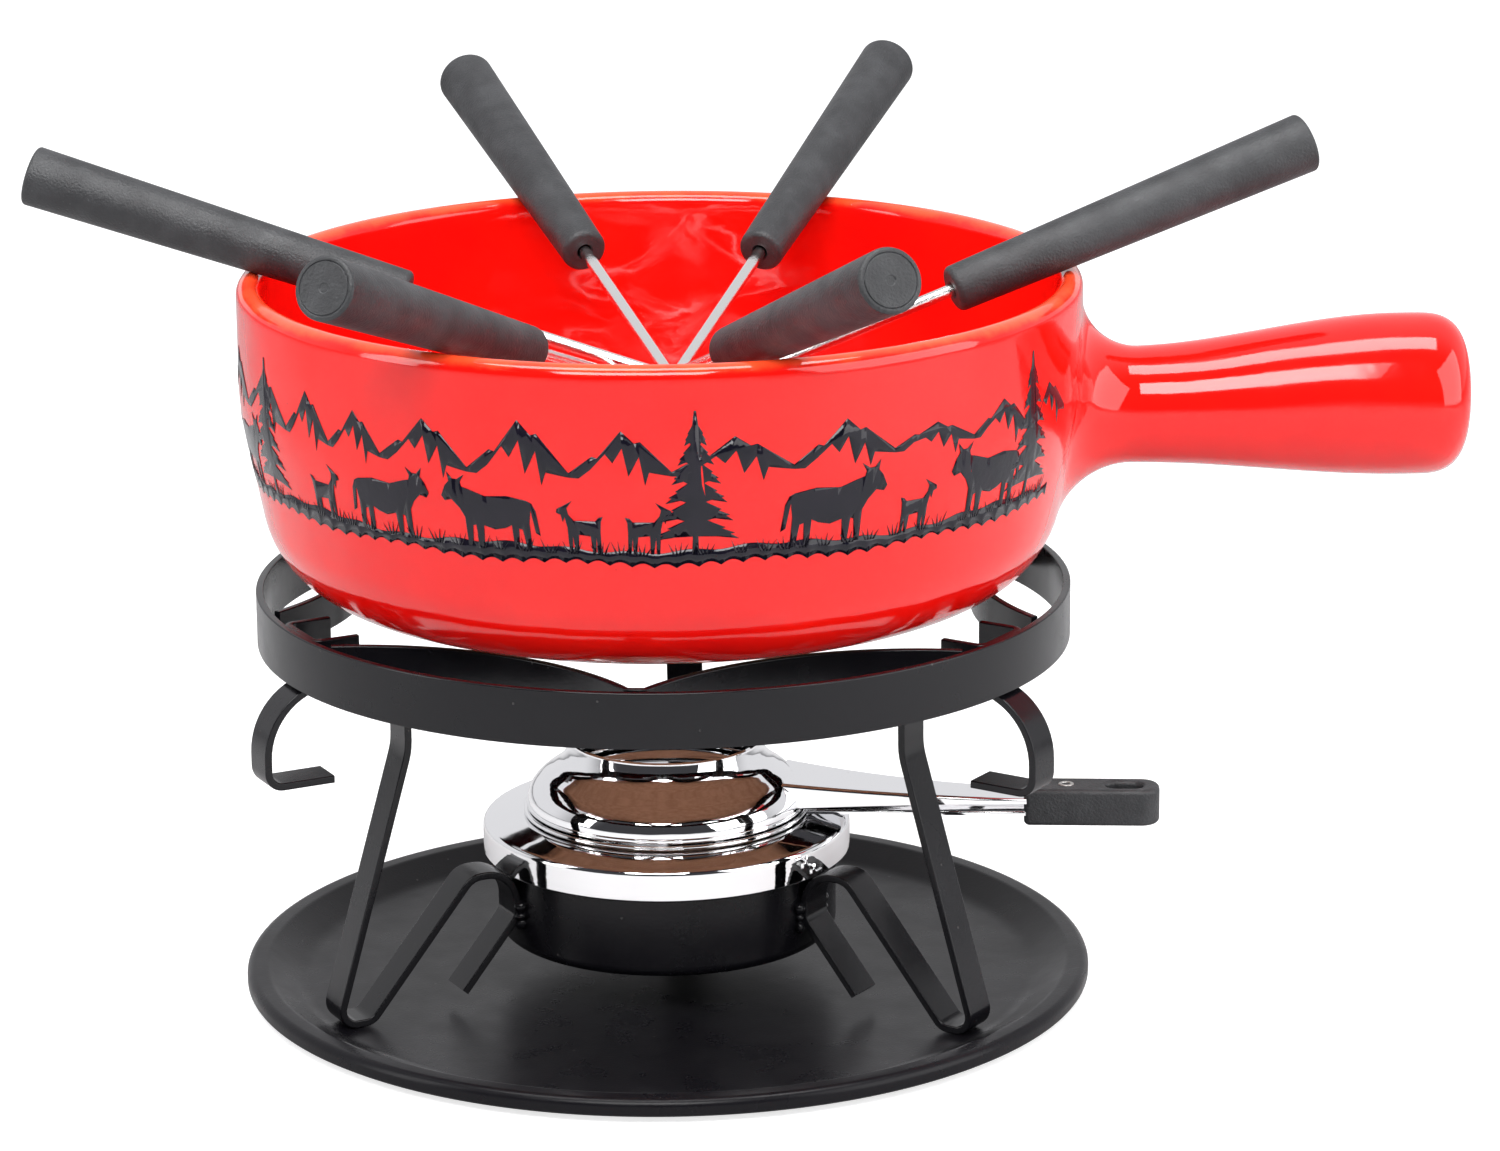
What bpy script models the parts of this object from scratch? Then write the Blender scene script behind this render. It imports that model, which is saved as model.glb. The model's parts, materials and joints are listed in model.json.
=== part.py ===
"""Fondue pot set: a stoneware caquelon with six forks on a strip-steel stand.

The stand carries the pot on a flat ring and holds a paste burner in a round
cup, and the whole set stands on a round drip tray.  Units are metres, +Z is
up, the origin is on the table under the middle of the tray.  The pot's side
handle points along +X.
"""
import math
from collections import namedtuple

import bmesh
import bpy
from mathutils import Matrix, Vector

# ---------------------------------------------------------------- clearances
FIT = 0.0003                    # gap left between faces that touch

# ---------------------------------------------------------------- drip tray
TRAY_MARGIN = 0.0056            # tray stands out past the ring above it
TRAY_SHEET = 0.0014             # thickness of the pressed sheet
TRAY_HEIGHT = 0.0064            # table to the top of the rolled rim
TRAY_RIM_WIDTH = 0.0060         # width of the rolled rim
TRAY_SLOPE = 0.0100             # run of the sloping wall inside the rim
TRAY_EDGE_ROLL = 0.0008         # small bends of the rim

# ---------------------------------------------------------------- stand
STRIP_THICKNESS = 0.0020        # flat steel that legs and ring are bent from
LEG_WIDTH = 0.0100
RING_RADIUS = 0.1074            # outside
RING_HEIGHT = 0.0145
RING_TOP = 0.1105               # above the table
STAND_AZIMUTHS = {"left": 206.0, "right": 326.0, "rear": 86.0}
SCROLL_RADIUS = 0.0184          # big outer bend of each leg's top scroll
SCROLL_REACH = 0.0089           # scroll stands this far outside the ring
SCROLL_TAB = 0.0180             # flat end of the scroll
SCROLL_HOOK = 0.0075            # flat end below the scroll's middle
TAB_BEND = 0.0040
LEG_RING_GAP = 0.0012           # weld gap between the scroll and the ring
LEG_NECK_INSET = 0.0290         # leg's upper bend, inward from the ring's inside
LEG_NECK_DROP = 0.0030          # that bend below the scroll's middle
LEG_ARCH_BEND = 0.0110
LEG_NECK_BEND = 0.0180
LEG_SPLAY = math.radians(16.7)  # lean of the straight leg
FOOT_LENGTH = 0.0097
FOOT_BEND = 0.0040
STRUT_ANGLE = math.radians(50.0)
STRUT_ARCH_BEND = 0.0085
STRUT_ARCH_RISE = 0.0012        # top of the arch above the collar's underside
STRUT_CLIP = 0.0106             # upright stretch starts this far above the cup's foot
STRUT_TAB = 0.0240              # free end below the burner cup
STRUT_TAB_LIFT = 0.0025         # free end stays this far above the foot
REST_SPAN = math.radians(50.0)  # each arm of a pot rest, seen from the axis
REST_BULGE = 0.0120             # how far an arm bows in past its chord
REST_STRIP_HEIGHT = 0.0100
REST_APEX_SETBACK = 0.0012      # the V's point inside the ring
REST_APEX_HALF = 0.0024         # half the V's opening
REST_STEPS = 8                  # straight pieces of each bowed arm
BRACKET_SPREAD = math.radians(5.2)
BRACKET_HORN = 0.0120
BRACKET_DROP = 0.0008           # bracket's top below the ring's top
BRACKET_BEND = 0.0025

# ---------------------------------------------------------------- burner
CUP_HEIGHT = 0.0220
CUP_TOP = 0.0360
CUP_WALL = 0.0012
CUP_RADIUS = 0.0452             # outside
CUP_BEND = 0.0030               # rounded edge of the cup's floor
COLLAR_OVERHANG = 0.0038        # collar stands out past the cup
COLLAR_HEIGHT = 0.0084
COLLAR_SHEET = 0.0010
COLLAR_LIP_INSET = 0.0100       # conical top runs in by this much
COLLAR_LIP_RISE = 0.0018        # and up by this much
COLLAR_LIP_WIDTH = 0.0020
COLLAR_EDGE = 0.0012            # rounded upper edge of the band
PAN_DEPTH = 0.0190              # fuel pan below the cup's rim
PAN_CLEARANCE = 0.0008          # between the pan and the cup's wall
GAUZE_THICKNESS = 0.0012
GAUZE_DROP = 0.0030             # gauze below the cup's rim, and inside the lip
GAUZE_EDGE = 0.0010             # width of its folded edge
GAUZE_SUPPORT_INSET = 0.0060
PLATE_RADIUS = 0.0382
PLATE_THICKNESS = 0.0012
DOME_RADIUS = 0.0374
DOME_HEIGHT = 0.0185
DOME_FLANGE = 0.0014            # height of the flat foot flange
DOME_MOUTH = 0.0256             # outer radius of the mouth
DOME_SHEET = 0.0010
PLATE_HOLE_SHARE = 0.90         # plate's hole, as a share of the mouth
LEVER_AZIMUTH = math.radians(-4.0)
LEVER_WIDTH = 0.0110
LEVER_SHEET = 0.0012
LEVER_ROOT_WIDTH = 0.0230       # the dome's arm widens towards the dome
LEVER_ROOT_RISE = 0.0056        # and is this much higher there
LEVER_ROOT_REACH = 0.0110       # starts this far inside the dome's foot
LEVER_LIFT = 0.0018             # dome's arm above the dome's foot
LEVER_STEPS = 10
GRIP_START = 0.0955             # distance from the axis
GRIP_LENGTH = 0.0360
GRIP_SIDE = 0.0005              # grip's sides past the lever's edges
GRIP_HEIGHT = 0.0100
GRIP_HOLE_LENGTH = 0.0098
GRIP_HOLE_WIDTH = 0.0056
GRIP_SLOT_SHARE = 0.42          # share of the grip that the levers reach into
GRIP_HOLE_SHARE = 0.74          # middle of the hole along the grip
GRIP_EDGE = 0.0014
RIVET_RADIUS = 0.0021
RIVET_SHARES = (0.12, 0.31)     # along the grip
RIVET_PROUD = 0.0002            # rivet heads past the grip's faces
BORE_OVERSHOOT = 0.0100         # cutters run past the piece they cut

# ---------------------------------------------------------------- pot
POT_RADIUS = 0.1100
POT_HEIGHT = 0.0822
POT_WALL = 0.0064
POT_FLOOR = 0.0068
POT_CORNER = 0.0260             # bend between wall and floor, outside
POT_TAPER = 0.0095              # wall draws in by this much down to the corner
POT_STRAIGHT = 0.0320           # upright stretch below the rim
POT_BEAD = 0.0032               # half the rounded rim's thickness
POT_SHOULDER = 0.0600           # wide bend between the taper and the straight wall
HANDLE_LENGTH = 0.1017          # past the pot's wall
HANDLE_DROP = 0.0370            # its middle below the rim
HANDLE_RISE = 0.0020            # its end sits a little higher
HANDLE_NECK = (0.0150, 0.0153)  # half width and half height
HANDLE_END = (0.0195, 0.0213)
HANDLE_CAP = 0.0150             # length of the rounded end
HANDLE_FILLET = 0.0150          # bend that blends it into the wall

# ---------------------------------------------------------------- forks
FORK_LENGTH = 0.2640
FORK_HANDLE_LENGTH = 0.1040
FORK_BUTT_RADIUS = 0.0079
FORK_TIP_RADIUS = 0.0061        # front end of the plastic handle
FORK_SHAFT_RADIUS = 0.0017
FORK_REST_SWELL = 0.0010        # least rise of the handle's underside at the rim
FORK_TANG = 0.0300              # shaft inside the handle
FORK_TINE_LENGTH = 0.0300
FORK_TINE_FORK = 0.0130         # shoulder where the shaft spreads
FORK_TINE_SPREAD = 0.0041       # outer tines' middle from the axis
FORK_TINE_WIDTH = 0.0018
FORK_TINE_THICKNESS = 0.0018
FORK_TINE_POINT = 0.0050        # length of each tine's point
FORK_TINE_BEND = 0.0030         # spread ends this far before the tines' root
FORK_TINE_SEAT = 0.0060         # round shaft runs this far into the tines' plate
FORK_TINE_EASE = 0.0020         # end of it that tapers
FORK_EDGE = 0.0010              # rounded edges of the handle
ForkPlace = namedtuple("ForkPlace", "azimuth side tip_gap tip_height")
FORKS = (
    ForkPlace(170.5, 0.0117, 0.0136, 0.0256),
    ForkPlace(242.2, -0.0056, 0.0118, 0.0120),
    ForkPlace(110.5, -0.0017, 0.0130, 0.0205),
    ForkPlace(66.6, -0.0020, 0.0182, 0.0129),
    ForkPlace(291.6, -0.0094, 0.0258, 0.0135),
    ForkPlace(17.3, -0.0339, 0.0130, 0.0231),
)

# ---------------------------------------------------------------- fineness
ROUND_LARGE = 64
ROUND_MEDIUM = 40
ROUND_SMALL = 16
ROUND_PIN = 12
ROUND_SHAFT = 10
ROUND_HANDLE = 24
ARC_STEP = math.radians(15.0)

# ---------------------------------------------------------------- derived
TRAY_FLOOR = TRAY_SHEET
TRAY_RADIUS = RING_RADIUS + TRAY_MARGIN
RING_INSIDE = RING_RADIUS - STRIP_THICKNESS
RING_BOTTOM = RING_TOP - RING_HEIGHT
HALF_STRIP = STRIP_THICKNESS / 2
FOOT_LEVEL = TRAY_FLOOR + FIT + HALF_STRIP
CUP_BOTTOM = CUP_TOP - CUP_HEIGHT
COLLAR_RADIUS = CUP_RADIUS + COLLAR_OVERHANG
COLLAR_BOTTOM = CUP_TOP + FIT
COLLAR_TOP = COLLAR_BOTTOM + COLLAR_HEIGHT
COLLAR_LIP_RADIUS = COLLAR_RADIUS - COLLAR_LIP_INSET
COLLAR_LIP_TOP = COLLAR_TOP + COLLAR_LIP_RISE
PLATE_BOTTOM = COLLAR_LIP_TOP + FIT
PLATE_TOP = PLATE_BOTTOM + PLATE_THICKNESS
DOME_BOTTOM = PLATE_TOP + FIT
LEVER_END = GRIP_START + GRIP_LENGTH * GRIP_SLOT_SHARE
GRIP_WIDTH = LEVER_WIDTH + 2 * GRIP_SIDE
DOME_ARM_BOTTOM = DOME_BOTTOM + LEVER_LIFT
DOME_ARM_TOP = DOME_ARM_BOTTOM + LEVER_SHEET
GRIP_LEVEL = (PLATE_BOTTOM + DOME_ARM_TOP) / 2
POT_BOTTOM = RING_TOP + FIT
POT_RIM = POT_BOTTOM + POT_HEIGHT
POT_INSIDE = POT_RADIUS - POT_WALL
POT_INNER_FLOOR = POT_BOTTOM + POT_FLOOR
BEAD_RADIUS = POT_RADIUS - POT_BEAD
BEAD_HEIGHT = POT_RIM - POT_BEAD


# ================================================================ scene
def clear_scene():
    """Remove every object so the script starts from nothing."""
    for item in list(bpy.data.objects):
        bpy.data.objects.remove(item, do_unlink=True)


def material(name, colour, metallic, roughness):
    """A plain Principled BSDF material."""
    result = bpy.data.materials.new(name)
    result.use_nodes = True
    shader = result.node_tree.nodes["Principled BSDF"]
    shader.inputs["Base Color"].default_value = (*colour, 1.0)
    shader.inputs["Metallic"].default_value = metallic
    shader.inputs["Roughness"].default_value = roughness
    return result


def add_object(name, mesh_builder, finish, parent=None, smooth_angle=35.0):
    """Turn a filled bmesh into a named, shaded object."""
    bmesh.ops.recalc_face_normals(mesh_builder, faces=mesh_builder.faces)
    mesh = bpy.data.meshes.new(name)
    mesh_builder.to_mesh(mesh)
    mesh_builder.free()
    mesh.materials.append(finish)
    mesh.shade_smooth()
    mesh.set_sharp_from_angle(angle=math.radians(smooth_angle))
    result = bpy.data.objects.new(name, mesh)
    bpy.context.scene.collection.objects.link(result)
    result.parent = parent
    return result


def add_empty(name, matrix, parent=None):
    """An axis or placing frame for the pieces parented to it."""
    result = bpy.data.objects.new(name, None)
    bpy.context.scene.collection.objects.link(result)
    result.parent = parent
    result.matrix_local = matrix
    return result


def combine(target, tool, operation):
    """Unite the tool with the target, or cut it away, and drop the tool."""
    step = target.modifiers.new(operation.title(), "BOOLEAN")
    step.operation = operation
    step.solver = "EXACT"
    step.object = tool
    bpy.context.view_layer.update()
    graph = bpy.context.evaluated_depsgraph_get()
    result = bpy.data.meshes.new_from_object(target.evaluated_get(graph))
    target.modifiers.remove(step)
    target.data = result
    target.data.shade_smooth()
    target.data.set_sharp_from_angle(angle=math.radians(35.0))
    bpy.data.objects.remove(tool, do_unlink=True)


# ================================================================ shapes
def rounded_path(corners):
    """A path through (x, y, bend radius) corners with each bend an arc."""
    points = []
    for index, (x, y, radius) in enumerate(corners):
        here = Vector((x, y))
        if index in (0, len(corners) - 1) or radius == 0:
            points.append(here)
            continue
        back = (Vector(corners[index - 1][:2]) - here).normalized()
        ahead = (Vector(corners[index + 1][:2]) - here).normalized()
        half = back.angle(ahead) / 2
        centre = here + (back + ahead).normalized() * (radius / math.sin(half))
        start = here + back * (radius / math.tan(half)) - centre
        turn = math.pi - 2 * half
        if back.x * ahead.y - back.y * ahead.x > 0:
            turn = -turn
        count = max(2, math.ceil(abs(turn) / ARC_STEP))
        for step in range(count + 1):
            spot = start.copy()
            spot.rotate(Matrix.Rotation(turn * step / count, 2))
            points.append(centre + spot)
    return points


def pairs(path):
    """Plain (radius, height) pairs of a path."""
    return [(spot.x, spot.y) for spot in path]


def ribbon_outline(path, thickness):
    """Closed outline of a strip seen on edge, centred on its path."""
    sides = ([], [])
    for index, here in enumerate(path):
        before = path[max(index - 1, 0)]
        after = path[min(index + 1, len(path) - 1)]
        first = (here - before).normalized() if index else (after - here).normalized()
        second = (after - here).normalized() if index < len(path) - 1 else first
        along = (first + second).normalized()
        across = Vector((-along.y, along.x))
        reach = thickness / 2 / max(along.dot(first), 0.5)
        sides[0].append(here + across * reach)
        sides[1].append(here - across * reach)
    return sides[0] + sides[1][::-1]


def prism(outline, lift, frame=None):
    """Extrude a strip's outline by lift, then carry it through frame.

    The outline's two halves mirror each other, so the end faces are a row of
    quads from one side of the strip to the other.
    """
    builder = bmesh.new()
    frame = frame or Matrix.Identity(4)
    count = len(outline)
    low = [builder.verts.new(frame @ Vector((p.x, p.y, 0.0))) for p in outline]
    high = [builder.verts.new(frame @ Vector((p.x, p.y, lift))) for p in outline]
    for index in range(count):
        following = (index + 1) % count
        builder.faces.new((low[index], low[following], high[following], high[index]))
    for ring in (low, high):
        for index in range(count // 2 - 1):
            mirror = count - 1 - index
            builder.faces.new((ring[index], ring[index + 1], ring[mirror - 1], ring[mirror]))
    return builder


def turned(outline, segments, frame=None):
    """Spin a closed (radius, height) outline round the Z axis."""
    builder = bmesh.new()
    frame = frame or Matrix.Identity(4)
    columns = []
    for radius, height in outline:
        if radius < 1e-7:
            columns.append([builder.verts.new(frame @ Vector((0.0, 0.0, height)))])
            continue
        column = []
        for step in range(segments):
            angle = 2 * math.pi * step / segments
            spot = Vector((radius * math.cos(angle), radius * math.sin(angle), height))
            column.append(builder.verts.new(frame @ spot))
        columns.append(column)
    for index, column in enumerate(columns):
        other = columns[(index + 1) % len(columns)]
        if len(column) == 1 and len(other) == 1:
            continue
        for step in range(segments):
            following = (step + 1) % segments
            if len(column) == 1:
                builder.faces.new((column[0], other[step], other[following]))
            elif len(other) == 1:
                builder.faces.new((column[step], other[0], column[following]))
            else:
                face = (column[step], other[step], other[following], column[following])
                builder.faces.new(face)
    return builder


def rounded_box(size, centre, bevel):
    """A block with rounded edges."""
    builder = bmesh.new()
    bmesh.ops.create_cube(builder, size=1.0)
    bmesh.ops.scale(builder, vec=size, verts=builder.verts)
    bmesh.ops.translate(builder, vec=centre, verts=builder.verts)
    if bevel:
        edges = list(builder.edges)
        bmesh.ops.bevel(builder, geom=edges, offset=bevel, segments=2, affect="EDGES", profile=0.5)
    return builder


def radial_frame(azimuth):
    """Carries (x, y, z) to (outward, up, across) in the plane at an azimuth."""
    outward = Vector((math.cos(azimuth), math.sin(azimuth), 0.0))
    across = Vector((math.sin(azimuth), -math.cos(azimuth), 0.0))
    return Matrix((
        (outward.x, 0.0, across.x, 0.0),
        (outward.y, 0.0, across.y, 0.0),
        (0.0, 1.0, 0.0, 0.0),
        (0.0, 0.0, 0.0, 1.0),
    ))


# ================================================================ tray
def build_tray(finish):
    """Pressed round tray: flat floor, sloping wall and rolled rim."""
    wall_top = TRAY_RADIUS - TRAY_RIM_WIDTH
    floor_edge = wall_top - TRAY_SLOPE
    under = TRAY_HEIGHT - TRAY_RIM_WIDTH * 0.55 - TRAY_SHEET
    roll = TRAY_EDGE_ROLL
    outline = rounded_path([
        (0.0, 0.0, 0.0),
        (floor_edge, 0.0, 0.0),
        (wall_top + TRAY_SHEET, under, 0.0),
        (TRAY_RADIUS - TRAY_SHEET, under, 0.0),
        (TRAY_RADIUS, under + TRAY_SHEET, 0.0),
        (TRAY_RADIUS, TRAY_HEIGHT, 2 * roll),
        (wall_top, TRAY_HEIGHT, 2 * roll),
        (floor_edge + roll, TRAY_FLOOR, 8 * roll),
        (0.0, TRAY_FLOOR, 0.0),
    ])
    return add_object("drip_tray", turned(pairs(outline), ROUND_LARGE), finish)


# ================================================================ stand
def build_ring(finish):
    """Flat steel hoop that surrounds the pot's foot."""
    outline = [
        (RING_INSIDE, RING_BOTTOM),
        (RING_RADIUS, RING_BOTTOM),
        (RING_RADIUS, RING_TOP),
        (RING_INSIDE, RING_TOP),
    ]
    return add_object("support_ring", turned(outline, ROUND_LARGE), finish)


def leg_path():
    """Middle line of a leg strip in its radial plane, top scroll first."""
    scroll_outer = RING_RADIUS + SCROLL_REACH - HALF_STRIP
    arch_middle = scroll_outer - SCROLL_RADIUS
    contact_run = RING_INSIDE + HALF_STRIP - arch_middle
    contact_rise = math.sqrt(SCROLL_RADIUS ** 2 - contact_run ** 2)
    scroll_level = RING_BOTTOM - LEG_RING_GAP - HALF_STRIP - contact_rise
    arch_top = scroll_level + SCROLL_RADIUS
    tab_level = scroll_level - SCROLL_HOOK
    neck = RING_INSIDE - LEG_NECK_INSET
    neck_level = scroll_level - LEG_NECK_DROP
    drop = neck_level - FOOT_LEVEL
    heel = neck + drop * math.tan(LEG_SPLAY)
    toe = heel - FOOT_LENGTH
    inner = CUP_RADIUS + FIT + HALF_STRIP
    strut_arch = COLLAR_BOTTOM + STRUT_ARCH_RISE
    strut_run = (strut_arch - FOOT_LEVEL) / math.tan(STRUT_ANGLE)
    tab_turn = CUP_BOTTOM + STRUT_CLIP
    tab_fall = min(STRUT_TAB * math.sin(STRUT_ANGLE), tab_turn - FOOT_LEVEL - STRUT_TAB_LIFT)
    tab_run = tab_fall / math.tan(STRUT_ANGLE)
    corners = [
        (scroll_outer - SCROLL_TAB, tab_level, 0.0),
        (scroll_outer, tab_level, TAB_BEND),
        (scroll_outer, arch_top, SCROLL_RADIUS),
        (neck, arch_top, LEG_ARCH_BEND),
        (neck, neck_level, LEG_NECK_BEND),
        (heel, FOOT_LEVEL, FOOT_BEND),
        (toe, FOOT_LEVEL, FOOT_BEND),
        (toe - strut_run, strut_arch, STRUT_ARCH_BEND * 0.7),
        (inner, strut_arch, STRUT_ARCH_BEND),
        (inner, tab_turn, TAB_BEND),
        (inner + tab_run, tab_turn - tab_fall, 0.0),
    ]
    return rounded_path(corners)


def build_leg(side, azimuth, finish):
    """One leg: scroll, arch under the ring, foot, strut and cup clip."""
    frame = radial_frame(azimuth) @ Matrix.Translation((0.0, 0.0, -LEG_WIDTH / 2))
    outline = ribbon_outline(leg_path(), STRIP_THICKNESS)
    return add_object(f"leg_{side}", prism(outline, LEG_WIDTH, frame), finish, smooth_angle=40.0)


def build_pot_rest(side, azimuth, finish):
    """M-shaped strip on edge: a V against the ring and two bowed arms."""
    touch = RING_INSIDE - FIT - HALF_STRIP
    arm_end = Vector((touch * math.cos(REST_SPAN), touch * math.sin(REST_SPAN)))
    apex = Vector((touch - REST_APEX_SETBACK, REST_APEX_HALF))
    middle = (apex + arm_end) / 2
    half_chord = (arm_end - apex).length / 2
    bow_radius = (half_chord ** 2 + REST_BULGE ** 2) / (2 * REST_BULGE)
    inward = Vector((arm_end.y - apex.y, apex.x - arm_end.x)).normalized()
    if inward.dot(middle) > 0:
        inward.negate()
    centre = middle - inward * (bow_radius - REST_BULGE)
    start = apex - centre
    sweep = 2 * math.asin(half_chord / bow_radius)
    if start.x * (arm_end - centre).y - start.y * (arm_end - centre).x < 0:
        sweep = -sweep
    arm = []
    for step in range(REST_STEPS + 1):
        spot = start.copy()
        spot.rotate(Matrix.Rotation(sweep * step / REST_STEPS, 2))
        arm.append(centre + spot)
    mirrored = [Vector((p.x, -p.y)) for p in arm]
    path = arm[::-1] + mirrored
    lift = REST_STRIP_HEIGHT
    base = Matrix.Translation((0.0, 0.0, RING_TOP - lift))
    frame = Matrix.Rotation(azimuth, 4, "Z") @ base
    outline = ribbon_outline(path, STRIP_THICKNESS)
    return add_object(f"pot_rest_{side}", prism(outline, lift, frame), finish)


def build_bracket(side, azimuth, finish):
    """Staple on the ring's inside above a leg, with two short horns."""
    touch = RING_INSIDE - FIT - HALF_STRIP
    across = touch * math.sin(BRACKET_SPREAD)
    outward = touch * math.cos(BRACKET_SPREAD)
    tip = outward - BRACKET_HORN
    corners = [
        (tip, -across, 0.0),
        (outward, -across, BRACKET_BEND),
        (outward, across, BRACKET_BEND),
        (tip, across, 0.0),
    ]
    lift = REST_STRIP_HEIGHT
    base = Matrix.Translation((0.0, 0.0, RING_TOP - BRACKET_DROP - lift))
    frame = Matrix.Rotation(azimuth, 4, "Z") @ base
    outline = ribbon_outline(rounded_path(corners), STRIP_THICKNESS)
    return add_object(f"leg_bracket_{side}", prism(outline, lift, frame), finish)


def build_cup(finish):
    """Round cup, welded to the three struts, that the burner drops into."""
    inside = CUP_RADIUS - CUP_WALL
    outline = rounded_path([
        (0.0, CUP_BOTTOM, 0.0),
        (CUP_RADIUS, CUP_BOTTOM, CUP_BEND),
        (CUP_RADIUS, CUP_TOP, 0.0),
        (inside, CUP_TOP, 0.0),
        (inside, CUP_BOTTOM + CUP_WALL, CUP_BEND - CUP_WALL),
        (0.0, CUP_BOTTOM + CUP_WALL, 0.0),
    ])
    return add_object("burner_cup", turned(pairs(outline), ROUND_MEDIUM), finish)


# ================================================================ burner
def build_burner_pan(finish):
    """Fuel pan with the wide collar that hangs on the cup's rim."""
    sheet = COLLAR_SHEET
    skirt = CUP_RADIUS - CUP_WALL - PAN_CLEARANCE
    bottom = CUP_TOP - PAN_DEPTH
    lip = COLLAR_LIP_RADIUS - COLLAR_LIP_WIDTH
    outline = rounded_path([
        (0.0, bottom, 0.0),
        (skirt, bottom, CUP_BEND),
        (skirt, COLLAR_BOTTOM, 0.0),
        (COLLAR_RADIUS, COLLAR_BOTTOM, 0.0),
        (COLLAR_RADIUS, COLLAR_TOP, COLLAR_EDGE),
        (COLLAR_LIP_RADIUS, COLLAR_LIP_TOP, 0.0),
        (lip, COLLAR_LIP_TOP, 0.0),
        (lip, COLLAR_LIP_TOP - sheet * 1.5, 0.0),
        (skirt - sheet, COLLAR_TOP - sheet, 0.0),
        (skirt - sheet, bottom + sheet, CUP_BEND - sheet),
        (0.0, bottom + sheet, 0.0),
    ])
    return add_object("burner_pan", turned(pairs(outline), ROUND_MEDIUM), finish)


def build_gauze(finish):
    """Wire gauze cap that lies over the fuel inside the collar."""
    radius = COLLAR_LIP_RADIUS - GAUZE_DROP
    low = CUP_TOP - GAUZE_DROP
    high = low + GAUZE_THICKNESS * 2
    inner = radius - GAUZE_EDGE
    outline = [
        (0.0, low),
        (inner, low),
        (radius, low + GAUZE_THICKNESS / 2),
        (radius, high),
        (inner, high),
        (inner - GAUZE_THICKNESS / 2, low + GAUZE_THICKNESS),
        (0.0, low + GAUZE_THICKNESS),
    ]
    return add_object("burner_gauze", turned(outline, ROUND_MEDIUM), finish)


def build_wick_holder(finish):
    """Low metal ring in the fuel pan that the gauze stands on."""
    bottom = CUP_TOP - PAN_DEPTH + COLLAR_SHEET + FIT
    top = CUP_TOP - GAUZE_DROP - FIT
    radius = COLLAR_LIP_RADIUS - GAUZE_SUPPORT_INSET
    outline = [
        (radius - COLLAR_SHEET, bottom),
        (radius, bottom),
        (radius, top),
        (radius - COLLAR_SHEET, top),
    ]
    return add_object("gauze_support", turned(outline, ROUND_MEDIUM), finish)


def lever_arm(start, root_width, root_rise, low):
    """Flat lever along +X that narrows and sinks towards the grip.

    Its underside stays at low, and its wide root sinks into the dome or the disc.
    """
    builder = bmesh.new()
    rings = []
    for step in range(LEVER_STEPS + 1):
        share = step / LEVER_STEPS
        ease = (1 - share) ** 2
        x = start + (LEVER_END - start) * share
        half = (LEVER_WIDTH + (root_width - LEVER_WIDTH) * ease) / 2
        high = low + LEVER_SHEET + root_rise * ease
        corners = ((-half, low), (half, low), (half, high), (-half, high))
        rings.append([builder.verts.new((x, y, z)) for y, z in corners])
    for ring, following in zip(rings, rings[1:]):
        for corner in range(4):
            other = (corner + 1) % 4
            builder.faces.new((ring[corner], ring[other], following[other], following[corner]))
    builder.faces.new(rings[0])
    builder.faces.new(rings[-1])
    return builder


def build_regulator(finish, axis):
    """Lower disc of the burner head with its lever arm."""
    hole = DOME_MOUTH * PLATE_HOLE_SHARE
    edge = PLATE_THICKNESS / 2
    outline = [
        (hole, PLATE_BOTTOM),
        (PLATE_RADIUS - edge, PLATE_BOTTOM),
        (PLATE_RADIUS, PLATE_BOTTOM + edge),
        (PLATE_RADIUS - edge, PLATE_TOP),
        (hole, PLATE_TOP),
    ]
    disc = add_object("regulator_plate", turned(outline, ROUND_MEDIUM), finish, axis)
    builder = lever_arm(PLATE_RADIUS - LEVER_ROOT_REACH / 2, LEVER_WIDTH, 0.0, PLATE_BOTTOM)
    combine(disc, add_object("regulator_arm", builder, finish, axis), "UNION")
    return disc


def dome_wall():
    """Outer (radius, height) points: foot flange, bulge, waist and mouth."""
    rise = DOME_HEIGHT - DOME_FLANGE
    shares = ((0.0, 0.995), (0.13, 0.96), (0.26, 0.86), (0.40, 0.66),
              (0.53, 0.40), (0.66, 0.19), (0.82, 0.06), (1.0, 0.0))
    run = DOME_RADIUS - DOME_MOUTH
    wall = [(DOME_MOUTH + run * out, DOME_FLANGE + rise * up) for up, out in shares]
    return [(DOME_RADIUS, 0.0), (DOME_RADIUS, DOME_FLANGE)] + wall[1:]


def build_dome(finish, axis):
    """Bulging sheet dome with an open mouth and its own lever arm."""
    outer = dome_wall()
    outline = [(r, DOME_BOTTOM + z) for r, z in outer]
    mouth_inside = DOME_MOUTH - DOME_SHEET
    outline.append((mouth_inside, DOME_BOTTOM + DOME_HEIGHT))
    inner = [(r - DOME_SHEET, DOME_BOTTOM + z - DOME_SHEET * 0.6) for r, z in outer[2:-1]]
    outline += inner[::-1]
    outline.append((DOME_RADIUS - 2 * DOME_SHEET, DOME_BOTTOM))
    dome = add_object("snuffer_dome", turned(outline, ROUND_MEDIUM), finish, axis)
    start = DOME_RADIUS - LEVER_ROOT_REACH / 2
    builder = lever_arm(start, LEVER_ROOT_WIDTH, LEVER_ROOT_RISE, DOME_ARM_BOTTOM)
    combine(dome, add_object("dome_arm", builder, finish, axis), "UNION")
    return dome


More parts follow.
